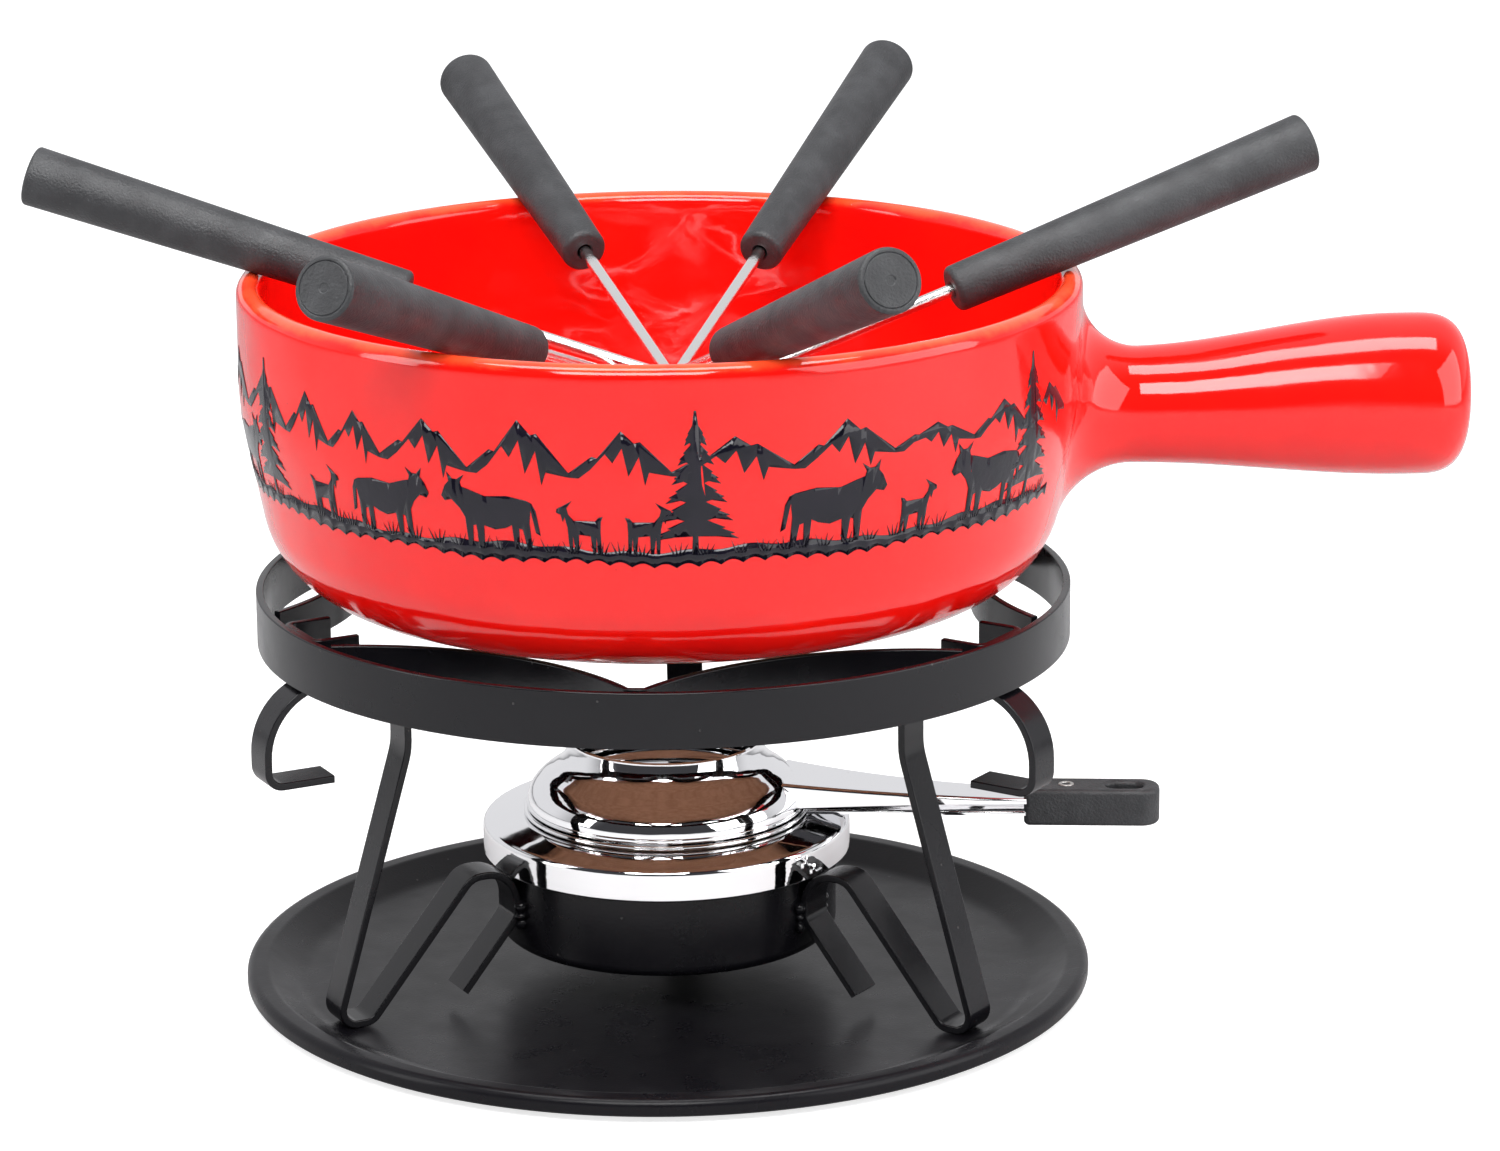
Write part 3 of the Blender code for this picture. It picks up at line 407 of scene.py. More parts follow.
@dataclass(frozen=True)
class ChromeFinish:
    """Bright plated or polished steel with faint handling marks."""

    name: str
    colour: tuple[float, float, float, float]
    gloss: tuple[float, float]
    line_scale: float
    line_depth: float

    def build(self) -> bpy.types.Material:
        """Make the material."""
        material, graph, parts = new_material(self.name, Metallic=1.0)
        at, shader = parts["at"], parts["shader"]
        smudge = GROUPS.place(graph, "mottle", Vector=at, Scale=85.0, Low=self.gloss[0],
                              High=self.gloss[1])
        specks = GROUPS.place(graph, "speckle", Vector=at, Scale=330.0, Size=0.07, Share=0.10)
        dull = tuple(part * 0.55 for part in self.colour[:3]) + (1.0,)
        graph.feed(shader["Base Color"],
                   graph.mix(graph.math("MULTIPLY", specks, 0.6), self.colour, dull))
        graph.feed(shader["Roughness"], graph.math("ADD", smudge,
                                                   graph.math("MULTIPLY", specks, 0.3)))
        stretched = graph.add("ShaderNodeMapping", {"Vector": at, "Scale": (1.0, 1.0, 9.0)})
        lines = GROUPS.place(graph, "grain", Vector=stretched.outputs[0], Scale=self.line_scale,
                             Ripple=1.2)
        bumped(graph, parts, lines, self.line_depth)
        return material


@dataclass(frozen=True)
class PlasticFinish:
    """Matte moulded plastic with a fine eroded grain."""

    name: str
    colour: tuple[float, float, float, float]
    scuffed: tuple[float, float, float, float]

    def build(self) -> bpy.types.Material:
        """Make the material."""
        material, graph, parts = new_material(self.name, IOR=1.48)
        at, shader = parts["at"], parts["shader"]
        wear = GROUPS.place(graph, "edge_wear", Vector=at, Radius=0.0009, Breakup=140.0)
        cloud = GROUPS.place(graph, "mottle", Vector=at, Scale=120.0, Low=0.0, High=0.35)
        specks = GROUPS.place(graph, "speckle", Vector=at, Scale=620.0, Size=0.16, Share=0.22)
        colour = graph.mix(cloud, self.colour, self.scuffed)
        colour = graph.mix(graph.math("MULTIPLY", specks, 0.55), colour, self.scuffed)
        colour = graph.mix(graph.math("MULTIPLY", wear, 0.7), colour, self.scuffed)
        graph.feed(shader["Base Color"], colour)
        graph.feed(shader["Roughness"],
                   GROUPS.place(graph, "mottle", Vector=at, Scale=75.0, Low=0.44, High=0.58))
        grain = GROUPS.place(graph, "grain", Vector=at, Scale=1500.0, Ripple=0.5)
        bumped(graph, parts, grain, 0.00022)
        return material


@dataclass(frozen=True)
class PrintFinish:
    """Dark enamel transfer fired onto the glaze."""

    name: str

    def build(self) -> bpy.types.Material:
        """Make the material."""
        material, graph, parts = new_material(self.name, IOR=1.40)
        at, shader = parts["at"], parts["shader"]
        tone = GROUPS.place(graph, "mottle", Vector=at, Scale=140.0, Low=0.0, High=1.0)
        ink = graph.mix(tone, (0.0035, 0.0035, 0.0080, 1.0), (0.0080, 0.0065, 0.0125, 1.0))
        thin = GROUPS.place(graph, "speckle", Vector=at, Scale=700.0, Size=0.13, Share=0.10)
        ink = graph.mix(graph.math("MULTIPLY", thin, 0.5), ink, (0.06, 0.006, 0.008, 1.0))
        graph.feed(shader["Base Color"], ink)
        graph.feed(shader["Roughness"],
                   GROUPS.place(graph, "mottle", Vector=at, Scale=60.0, Low=0.10, High=0.20))
        bumped(graph, parts, GROUPS.place(graph, "grain", Vector=at, Scale=420.0, Ripple=1.0), 0.00010)
        return material


@dataclass(frozen=True)
class FloorFinish:
    """Pale seamless studio paper."""

    name: str

    def build(self) -> bpy.types.Material:
        """Make the material."""
        material, graph, parts = new_material(self.name, Roughness=0.9)
        at, shader = parts["at"], parts["shader"]
        tone = GROUPS.place(graph, "mottle", Vector=at, Scale=3.0, Low=0.0, High=1.0)
        paper = graph.mix(tone, (0.50, 0.50, 0.505, 1.0), (0.54, 0.54, 0.545, 1.0))
        graph.feed(shader["Base Color"], paper)
        eye_ray = graph.add("ShaderNodeLightPath").outputs["Is Camera Ray"]
        graph.feed(shader["Emission Color"], (1.0, 1.0, 1.0, 1.0))
        graph.feed(shader["Emission Strength"], graph.math("MULTIPLY", eye_ray, 0.75))
        bumped(graph, parts, GROUPS.place(graph, "grain", Vector=at, Scale=300.0, Ripple=0.2), 0.0001)
        return material


# ================================================================ outlines
def rounded_path(corners: Sequence[tuple[float, float, float]], step: float = 8.0) -> list[Vector]:
    """Path through corners, each with its own bend radius.

    Args:
        corners: (x, y, bend radius) in order.
        step: Largest turn of one segment of a bend, in degrees.

    Returns:
        The path's points.
    """
    points = []
    for index, (x, y, radius) in enumerate(corners):
        here = Vector((x, y))
        if index in (0, len(corners) - 1) or radius == 0:
            points.append(here)
            continue
        back = (Vector(corners[index - 1][:2]) - here).normalized()
        ahead = (Vector(corners[index + 1][:2]) - here).normalized()
        half = back.angle(ahead) / 2
        centre = here + (back + ahead).normalized() * (radius / math.sin(half))
        start = here + back * (radius / math.tan(half)) - centre
        turn = math.pi - 2 * half
        if back.x * ahead.y - back.y * ahead.x > 0:
            turn = -turn
        count = max(2, math.ceil(abs(math.degrees(turn)) / step))
        for part in range(count + 1):
            spot = start.copy()
            spot.rotate(Matrix.Rotation(turn * part / count, 2))
            points.append(centre + spot)
    return points


def flowing(points: Sequence[Point], parts: int = 6) -> Outline:
    """Smooth curve through points (Catmull-Rom).

    Args:
        points: Points that the curve passes through.
        parts: Segments between two of them.

    Returns:
        The finer outline.
    """
    result = []
    for index in range(len(points) - 1):
        run = [Vector(points[min(max(index + shift, 0), len(points) - 1)]) for shift in range(-1, 3)]
        for part in range(parts):
            t = part / parts
            spot = (run[1] * 2 + (run[2] - run[0]) * t
                    + (run[0] * 2 - run[1] * 5 + run[2] * 4 - run[3]) * t * t
                    + (run[1] * 3 - run[0] - run[2] * 3 + run[3]) * t * t * t) / 2
            result.append((spot.x, spot.y))
    result.append(tuple(points[-1]))
    return result


def pairs(path: Sequence[Vector]) -> Outline:
    """Plain (x, y) pairs of a path."""
    return [(spot.x, spot.y) for spot in path]


# ================================================================ meshes
def lathe(outline: Sequence[Point], segments: int, place: Matrix | None = None) -> bmesh.types.BMesh:
    """Spin a closed (radius, height) outline round the Z axis.

    Args:
        outline: Closed outline; radius 0 makes a pole.
        segments: Steps round the axis.
        place: Where to put the result.

    Returns:
        The mesh with its faces pointing out.
    """
    builder = bmesh.new()
    place = place or Matrix.Identity(4)
    columns = []
    for radius, height in outline:
        count = 1 if radius < 1e-7 else segments
        turns = [2 * math.pi * step / segments for step in range(count)]
        columns.append([builder.verts.new(place @ Vector((
            radius * math.cos(turn), radius * math.sin(turn), height))) for turn in turns])
    for index, column in enumerate(columns):
        other = columns[(index + 1) % len(columns)]
        for step in range(segments):
            after = (step + 1) % segments
            corners = [column[step % len(column)], other[step % len(other)],
                       other[after % len(other)], column[after % len(column)]]
            unique = list(dict.fromkeys(corners))
            if len(unique) > 2:
                builder.faces.new(unique)
    bmesh.ops.recalc_face_normals(builder, faces=builder.faces)
    return builder


def lofted(rings: Sequence[Sequence[Vector]], closed_ends: bool = True) -> bmesh.types.BMesh:
    """Skin a row of rings that all have the same number of points.

    Args:
        rings: Rings in order.
        closed_ends: Whether the first and last ring get a face.

    Returns:
        The mesh with its faces pointing out.
    """
    builder = bmesh.new()
    made = [[builder.verts.new(spot) for spot in ring] for ring in rings]
    count = len(made[0])
    for ring, following in zip(made, made[1:]):
        for step in range(count):
            after = (step + 1) % count
            builder.faces.new((ring[step], ring[after], following[after], following[step]))
    if closed_ends:
        builder.faces.new(made[0])
        builder.faces.new(made[-1])
    bmesh.ops.recalc_face_normals(builder, faces=builder.faces)
    return builder


def append_mesh(target: bmesh.types.BMesh, source: bmesh.types.BMesh) -> None:
    """Copy the source's shells into the target and free the source."""
    mesh = bpy.data.meshes.new("shells")
    source.to_mesh(mesh)
    source.free()
    target.from_mesh(mesh)
    bpy.data.meshes.remove(mesh)


def add_object(name: str, shape: bmesh.types.BMesh | bpy.types.Mesh, finish: bpy.types.Material,
               crease: float = 38.0) -> bpy.types.Object:
    """Make an object at the origin from a mesh.

    Args:
        name: Object name.
        shape: Mesh, or bmesh that is used up.
        finish: Its material.
        crease: Edges that turn more than this many degrees stay sharp.

    Returns:
        The new object.
    """
    if isinstance(shape, bmesh.types.BMesh):
        mesh = bpy.data.meshes.new(name)
        shape.to_mesh(mesh)
        shape.free()
    else:
        mesh = shape
        mesh.name = name
    mesh.materials.clear()
    mesh.materials.append(finish)
    mesh.shade_smooth()
    mesh.set_sharp_from_angle(angle=math.radians(crease))
    result = bpy.data.objects.new(name, mesh)
    bpy.context.scene.collection.objects.link(result)
    return result


def weight_normals(item: bpy.types.Object) -> None:
    """Let large flat faces keep their shading beside narrow rounded edges."""
    step = item.modifiers.new("even_shading", "WEIGHTED_NORMAL")
    step.keep_sharp = True
    step.weight = 80


# ================================================================ geometry nodes
class NodeTool:
    """A Geometry Nodes tree with named inputs, used to make plain meshes."""

    def __init__(self, name: str, **inputs: str) -> None:
        """Open the tree and its sockets.

        Args:
            name: Tree name.
            inputs: Socket kind of each input by name, with _ for a space.
        """
        self.tree = bpy.data.node_groups.new(name, "GeometryNodeTree")
        face = self.tree.interface
        face.new_socket("Geometry", in_out="INPUT", socket_type="NodeSocketGeometry")
        for key, kind in inputs.items():
            face.new_socket(key.replace("_", " "), in_out="INPUT", socket_type=f"NodeSocket{kind}")
        face.new_socket("Finish", in_out="INPUT", socket_type="NodeSocketMaterial")
        face.new_socket("Geometry", in_out="OUTPUT", socket_type="NodeSocketGeometry")
        self.graph = Graph(self.tree)
        self.source = self.graph.add("NodeGroupInput")
        self.sink = self.graph.add("NodeGroupOutput")

    def at(self, name: str) -> bpy.types.NodeSocket:
        """Socket of one of the tree's inputs."""
        return self.source.outputs[name]

    def close(self, geometry: bpy.types.NodeSocket) -> None:
        """End the tree with real geometry that has its material.

        Args:
            geometry: Last geometry socket of the tree.
        """
        real = self.graph.add("GeometryNodeRealizeInstances", {"Geometry": geometry})
        dressed = self.graph.add("GeometryNodeSetMaterial", {
            "Geometry": real.outputs[0], "Material": self.at("Finish")})
        self.graph.feed(self.sink.inputs[0], dressed.outputs[0])

    def run(self, points: Sequence[Vector], edges: Sequence[tuple[int, int]],
            finish: bpy.types.Material, **values: object) -> bpy.types.Mesh:
        """Run the tree on points and edges and keep the plain result.

        Args:
            points: Points of the guide mesh.
            edges: Pairs of point numbers.
            finish: Material of the result.
            values: Input values by name, with _ for a space.

        Returns:
            The finished mesh.
        """
        guide_mesh = bpy.data.meshes.new("guide")
        guide_mesh.from_pydata([tuple(spot) for spot in points], list(edges), [])
        guide = bpy.data.objects.new("guide", guide_mesh)
        bpy.context.scene.collection.objects.link(guide)
        step = guide.modifiers.new("shape", "NODES")
        step.node_group = self.tree
        wanted = {key.replace("_", " "): value for key, value in values.items()}
        wanted["Finish"] = finish
        for item in self.tree.interface.items_tree:
            if item.item_type == "SOCKET" and item.in_out == "INPUT" and item.name in wanted:
                step[item.identifier] = wanted[item.name]
        graph = bpy.context.evaluated_depsgraph_get()
        result = bpy.data.meshes.new_from_object(guide.evaluated_get(graph))
        guide.modifiers.remove(step)
        bpy.data.objects.remove(guide, do_unlink=True)
        bpy.data.meshes.remove(guide_mesh)
        return result


class StripTool(NodeTool):
    """Sweeps a strip's rounded section along a path."""

    def __init__(self) -> None:
        """Build the tree."""
        super().__init__("bent_strip", Width="Float", Thickness="Float", Edge_Radius="Float",
                         Point_Length="Float", Across="Vector")
        graph = self.graph
        path = graph.add("GeometryNodeMeshToCurve", {"Mesh": self.at("Geometry")}).outputs[0]
        turned = graph.add("GeometryNodeSetCurveNormal", {"Curve": path, "Normal": self.at("Across")},
                           mode="FREE").outputs[0]
        section = graph.add("GeometryNodeCurvePrimitiveQuadrilateral", {
            "Width": self.at("Width"), "Height": self.at("Thickness")}, mode="RECTANGLE")
        rounded = graph.add("GeometryNodeFilletCurve", {
            "Curve": section.outputs[0], "Count": 3, "Radius": self.at("Edge Radius")}, mode="POLY")
        total = graph.add("GeometryNodeSplineLength").outputs["Length"]
        so_far = graph.add("GeometryNodeSplineParameter").outputs["Length"]
        left = graph.math("ADD", graph.math("SUBTRACT", total, so_far), 1e-5)
        point = graph.math("ADD", self.at("Point Length"), 1e-5)
        share = graph.math("MINIMUM", graph.math("DIVIDE", left, point), 1.0)
        scale = graph.math("POWER", share, 0.7)
        swept = graph.add("GeometryNodeCurveToMesh", {
            "Curve": turned, "Profile Curve": rounded.outputs[0], "Scale": scale,
            "Fill Caps": True})
        self.close(swept.outputs[0])

    def bend(self, path: Sequence[Vector], across: Sequence[float], width: float, thickness: float,
             finish: bpy.types.Material, loop: bool = False, edge: float = 0.00035,
             point: float = 0.0) -> bpy.types.Mesh:
        """Make one strip.

        Args:
            path: Middle line.
            across: Direction of the strip's width.
            width: Strip width.
            thickness: Strip thickness.
            finish: Its material.
            loop: Whether the path closes on itself.
            edge: Radius of the long edges.
            point: Length of a tapered point at the path's end.

        Returns:
            The strip's mesh.
        """
        count = len(path)
        edges = [(index, index + 1) for index in range(count - 1)]
        if loop:
            edges.append((count - 1, 0))
        return self.run(path, edges, finish, Width=width, Thickness=thickness, Edge_Radius=edge,
                        Point_Length=point, Across=tuple(across))


class WeldTool(NodeTool):
    """Scatters small uneven beads of weld on given points."""

    def __init__(self) -> None:
        """Build the tree."""
        super().__init__("weld_beads", Bead_Radius="Float")
        graph = self.graph
        bead = graph.add("GeometryNodeMeshIcoSphere", {
            "Radius": self.at("Bead Radius"), "Subdivisions": 3}).outputs[0]
        size = graph.add("FunctionNodeRandomValue", {0: (0.7, 0.7, 0.6), 1: (1.25, 1.15, 1.3),
                                                     "Seed": 4}, data_type="FLOAT_VECTOR")
        turn = graph.add("FunctionNodeRandomValue", {0: (0.0, 0.0, 0.0), 1: (6.28, 6.28, 6.28),
                                                     "Seed": 9}, data_type="FLOAT_VECTOR")
        rotation = graph.add("FunctionNodeEulerToRotation", {0: turn.outputs[0]})
        placed = graph.add("GeometryNodeInstanceOnPoints", {
            "Points": self.at("Geometry"), "Instance": bead, "Rotation": rotation.outputs[0],
            "Scale": size.outputs[0]})
        self.close(placed.outputs[0])


class GauzeTool(NodeTool):
    """Round piece of wire gauze: two crossed layers of straight wires."""

    def __init__(self) -> None:
        """Build the tree."""
        super().__init__("wire_gauze", Radius="Float", Spacing="Float", Wire_Radius="Float",
                         Level="Float")
        graph = self.graph
        radius, spacing, wire = self.at("Radius"), self.at("Spacing"), self.at("Wire Radius")
        half = graph.math("FLOOR", graph.math("DIVIDE", graph.math("MULTIPLY", radius, 0.985),
                                              spacing))
        count = graph.math("ADD", graph.math("MULTIPLY", half, 2.0), 1.0)
        start_x = graph.math("MULTIPLY", graph.math("MULTIPLY", half, spacing), -1.0)
        start = graph.add("ShaderNodeCombineXYZ", {0: start_x, 2: self.at("Level")}).outputs[0]
        stride = graph.add("ShaderNodeCombineXYZ", {0: spacing}).outputs[0]
        row = graph.add("GeometryNodeMeshLine", {
            "Count": count, "Start Location": start, "Offset": stride}, mode="OFFSET").outputs[0]
        rod = graph.add("GeometryNodeMeshCylinder", {
            "Vertices": 6, "Radius": wire, "Depth": 2.0}).outputs[0]
        laid = graph.add("GeometryNodeTransform", {
            "Geometry": rod, "Rotation": (math.pi / 2, 0.0, 0.0)}).outputs[0]
        place = graph.add("GeometryNodeInputPosition").outputs[0]
        x = graph.add("ShaderNodeSeparateXYZ", {0: place}).outputs[0]
        square = graph.math("SUBTRACT", graph.math("MULTIPLY", radius, radius),
                            graph.math("MULTIPLY", x, x))
        reach = graph.math("SQRT", graph.math("MAXIMUM", square, 1e-8))
        scale = graph.add("ShaderNodeCombineXYZ", {0: 1.0, 1: reach, 2: 1.0}).outputs[0]
        wires = graph.add("GeometryNodeInstanceOnPoints", {
            "Points": row, "Instance": laid, "Scale": scale}).outputs[0]
        step_up = graph.add("ShaderNodeCombineXYZ", {2: graph.math("MULTIPLY", wire, 1.6)}).outputs[0]
        crossed = graph.add("GeometryNodeTransform", {
            "Geometry": wires, "Translation": step_up, "Rotation": (0.0, 0.0, math.pi / 2)})
        both = graph.add("GeometryNodeJoinGeometry")
        graph.feed(both.inputs[0], wires)
        graph.feed(both.inputs[0], crossed.outputs[0])
        self.close(both.outputs[0])


# ================================================================ sub-assemblies
@dataclass
class SubAssembly:
    """Common part of every sub-assembly: it lets its pieces ride."""

    def fit(self, item: bpy.types.Object, body: Body | str, slot: Slot, *nodes: str) -> None:
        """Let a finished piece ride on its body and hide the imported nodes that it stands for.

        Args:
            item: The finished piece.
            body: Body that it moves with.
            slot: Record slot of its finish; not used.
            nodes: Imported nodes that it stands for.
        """
        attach(item, body.value if isinstance(body, Body) else body)
        if nodes:
            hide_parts(*nodes)
        LOG.info("%s on %s, %d faces", item.name, body, len(item.data.polygons))


@dataclass
class DripTray(SubAssembly):
    """Pressed round tray with a sloping wall and a rolled rim."""

    finish: bpy.types.Material
    sheet: float = 0.0014
    rim_width: float = 0.0060
    slope: float = 0.0100
    segments: int = 256

    def build(self) -> None:
        """Make the tray."""
        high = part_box("drip_tray")[1]
        radius, height = high[0], high[2]
        inner = radius - self.rim_width
        floor_edge = inner - self.slope
        under = height - self.rim_width * 0.55 - self.sheet
        outline = rounded_path([
            (0.0, 0.0, 0.0), (floor_edge, 0.0, 0.010), (inner + self.sheet, under, 0.0012),
            (radius - self.sheet, under - 0.0002, 0.0004), (radius, under + 0.0006, 0.0006),
            (radius, height, 0.0022), (inner + 0.0004, height, 0.0026),
            (floor_edge + 0.0012, self.sheet, 0.0085), (0.0, self.sheet, 0.0)], 7.0)
        tray = add_object("tray_pressed", lathe(pairs(outline), self.segments), self.finish)
        self.fit(tray, Body.TRAY, Slot.TRAY_BLACK, "drip_tray")


@dataclass
class Stand(SubAssembly):
    """Ring, three bent legs, pot rests, brackets and the burner cup."""

    finish: bpy.types.Material
    strip: StripTool
    welds: WeldTool
    thickness: float = 0.0020
    leg_width: float = 0.0100
    rest_height: float = 0.0100
    clearance: float = 0.0003
    azimuths: dict[str, float] = field(default_factory=lambda: {
        "left": 206.0, "right": 326.0, "rear": 86.0})
    scroll_radius: float = 0.0184
    scroll_reach: float = 0.0089
    scroll_tab: float = 0.0150
    neck_inset: float = 0.0290
    splay: float = math.radians(16.7)
    foot_length: float = 0.0097
    foot_bend: float = 0.0040
    strut_angle: float = math.radians(50.0)
    strut_bend: float = 0.0085
    strut_tab: float = 0.0240
    rest_span: float = math.radians(50.0)
    rest_bulge: float = 0.0120
    bracket_spread: float = math.radians(5.2)
    bracket_horn: float = 0.0120
    bracket_drop: float = 0.0008
    cup_wall: float = 0.0012

    def __post_init__(self) -> None:
        """Read the ring's and the cup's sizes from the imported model."""
        ring_low, ring_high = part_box("support_ring")
        self.ring_radius = ring_high[0]
        self.ring_top, self.ring_bottom = ring_high[2], ring_low[2]
        self.ring_inside = self.ring_radius - self.thickness
        cup_low, cup_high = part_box("burner_cup")
        self.cup_radius = cup_high[0]
        self.cup_top, self.cup_bottom = cup_high[2], cup_low[2]
        self.foot_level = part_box("leg_left")[0][2] + self.thickness / 2

    def build(self) -> None:
        """Make every piece of the stand."""
        self.build_ring()
        for side, azimuth in self.azimuths.items():
            self.build_leg(side, math.radians(azimuth))
            self.build_bracket(side, math.radians(azimuth))
        for side, leg in (("front", "left"), ("back_right", "right"), ("back_left", "rear")):
            self.build_rest(side, math.radians(self.azimuths[leg] + 60.0))
        self.build_cup()

    def finish_strip(self, name: str, mesh: bpy.types.Mesh, node: str) -> None:
        """Dress a strip and let it ride on the stand.

        Args:
            name: Piece name.
            mesh: The strip's mesh.
            node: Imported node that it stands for.
        """
        item = add_object(name, mesh, self.finish, 50.0)
        weight_normals(item)
        self.fit(item, Body.STAND, Slot.STAND_BLACK, node)

    def build_ring(self) -> None:
        """Make the flat hoop round the pot's foot."""
        middle = self.ring_radius - self.thickness / 2
        level = (self.ring_top + self.ring_bottom) / 2
        count = 288
        path = [Vector((middle * math.cos(2 * math.pi * step / count),
                        middle * math.sin(2 * math.pi * step / count), level))
                for step in range(count)]
        mesh = self.strip.bend(path, Across.UPRIGHT.value, self.ring_top - self.ring_bottom,
                               self.thickness, self.finish, loop=True, edge=0.0004)
        self.finish_strip("ring_hoop", mesh, "support_ring")

    def leg_path(self) -> list[Vector]:
        """Middle line of a leg in its own upright plane, top scroll first."""
        half = self.thickness / 2
        scroll_outer = self.ring_radius + self.scroll_reach - half
        arch_middle = scroll_outer - self.scroll_radius
        contact_run = self.ring_inside + half - arch_middle
        contact_rise = math.sqrt(self.scroll_radius ** 2 - contact_run ** 2)
        scroll_level = self.ring_bottom - self.clearance * 4 - half - contact_rise
        arch_top = scroll_level + self.scroll_radius
        tab_level = scroll_level - 0.0075
        neck = self.ring_inside - self.neck_inset
        neck_level = scroll_level - 0.0030
        heel = neck + (neck_level - self.foot_level) * math.tan(self.splay)
        toe = heel - self.foot_length
        inner = self.cup_radius + self.clearance + half
        strut_arch = self.cup_top + self.clearance + 0.0012
        strut_run = (strut_arch - self.foot_level) / math.tan(self.strut_angle)
        tab_turn = self.cup_bottom + 0.0106
        tab_fall = min(self.strut_tab * math.sin(self.strut_angle),
                       tab_turn - self.foot_level - 0.0025)
        tab_run = tab_fall / math.tan(self.strut_angle)
        return rounded_path([
            (scroll_outer - self.scroll_tab - 0.0030, tab_level, 0.0),
            (scroll_outer, tab_level, 0.0040),
            (scroll_outer, arch_top, self.scroll_radius),
            (neck, arch_top, 0.0110),
            (neck, neck_level, 0.0180),
            (heel, self.foot_level, self.foot_bend),
            (toe, self.foot_level, self.foot_bend),
            (toe - strut_run, strut_arch, self.strut_bend * 0.7),
            (inner, strut_arch, self.strut_bend),
            (inner, tab_turn, 0.0040),
            (inner + tab_run, tab_turn - tab_fall, 0.0)], 6.0)

    def build_leg(self, side: str, azimuth: float) -> None:
        """Make a leg and the weld beads between its strut and the cup.

        Args:
            side: Which leg.
            azimuth: Its direction from the axis.
        """
        outward = Vector((math.cos(azimuth), math.sin(azimuth), 0.0))
        aside = Vector((-math.sin(azimuth), math.cos(azimuth), 0.0))
        path = [outward * spot.x + Vector((0.0, 0.0, spot.y)) for spot in self.leg_path()]
        mesh = self.strip.bend(path, aside, self.leg_width, self.thickness, self.finish)
        self.finish_strip(f"leg_strip_{side}", mesh, f"leg_{side}")
        beads = []
        for edge in (-1, 1):
            for lift in (0.0086, 0.0112, 0.0138):
                spot = outward * (self.cup_radius + 0.0004) + aside * (edge * self.leg_width * 0.53)
                beads.append(spot + Vector((0.0, 0.0, self.cup_bottom + lift)))
        weld = self.welds.run(beads, [], self.finish, Bead_Radius=0.0016)
        item = add_object(f"leg_weld_{side}", weld, self.finish, 180.0)
        self.fit(item, Body.STAND, Slot.STAND_BLACK)

    def build_bracket(self, side: str, azimuth: float) -> None:
        """Make the staple with two horns inside the ring above a leg.

        Args:
            side: Which leg it stands over.
            azimuth: Its direction from the axis.
        """
        touch = self.ring_inside - self.clearance - self.thickness / 2
        across = touch * math.sin(self.bracket_spread)
        outward = touch * math.cos(self.bracket_spread)
        tip = outward - self.bracket_horn
        flat = rounded_path([(tip, -across, 0.0), (outward, -across, 0.0025),
                             (outward, across, 0.0025), (tip, across, 0.0)])
        level = self.ring_top - self.bracket_drop - self.rest_height / 2
        self.build_upright(flat, azimuth, level, f"bracket_{side}", f"leg_bracket_{side}")

    def build_rest(self, side: str, azimuth: float) -> None:
        """Make a pot rest: a V against the ring with two bowed arms.

        Args:
            side: Which rest.
            azimuth: Direction of its middle from the axis.
        """
        touch = self.ring_inside - self.clearance - self.thickness / 2
        arm_end = Vector((touch * math.cos(self.rest_span), touch * math.sin(self.rest_span)))
        apex = Vector((touch - 0.0012, 0.0024))
        middle = (apex + arm_end) / 2
        half_chord = (arm_end - apex).length / 2
        radius = (half_chord ** 2 + self.rest_bulge ** 2) / (2 * self.rest_bulge)
        inward = Vector((arm_end.y - apex.y, apex.x - arm_end.x)).normalized()
        if inward.dot(middle) > 0:
            inward.negate()
        centre = middle - inward * (radius - self.rest_bulge)
        start = apex - centre
        sweep = 2 * math.asin(half_chord / radius)
        if start.x * (arm_end - centre).y - start.y * (arm_end - centre).x < 0:
            sweep = -sweep
        arm = []
        for step in range(33):
            spot = start.copy()
            spot.rotate(Matrix.Rotation(sweep * step / 32, 2))
            arm.append(centre + spot)
        flat = arm[::-1] + [Vector((spot.x, -spot.y)) for spot in arm]
        level = self.ring_top - self.rest_height / 2
        self.build_upright(flat, azimuth, level, f"rest_{side}", f"pot_rest_{side}")

    def build_upright(self, flat: list[Vector], azimuth: float, level: float, name: str,
                      node: str) -> None:
        """Make a strip that stands on edge along a flat path.

        Args:
            flat: Path with its own +X outward.
            azimuth: Turn of the path about the axis.
            level: Height of the strip's middle.
            name: Piece name.
            node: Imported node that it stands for.
        """
        turn = Matrix.Rotation(azimuth, 4, "Z")
        path = [turn @ Vector((spot.x, spot.y, level)) for spot in flat]
        mesh = self.strip.bend(path, Across.UPRIGHT.value, self.rest_height, self.thickness,
                               self.finish)
        self.finish_strip(f"strip_{name}", mesh, node)

    def build_cup(self) -> None:
        """Make the round cup that the burner drops into."""
        inside = self.cup_radius - self.cup_wall
        outline = rounded_path([
            (0.0, self.cup_bottom, 0.0), (self.cup_radius, self.cup_bottom, 0.0032),
            (self.cup_radius, self.cup_top, 0.0005), (inside, self.cup_top, 0.0005),
            (inside, self.cup_bottom + self.cup_wall, 0.0022),
            (0.0, self.cup_bottom + self.cup_wall, 0.0)])
        cup = add_object("cup_drawn", lathe(pairs(outline), 160), self.finish)
        weight_normals(cup)
        self.fit(cup, Body.STAND, Slot.STAND_BLACK, "burner_cup")


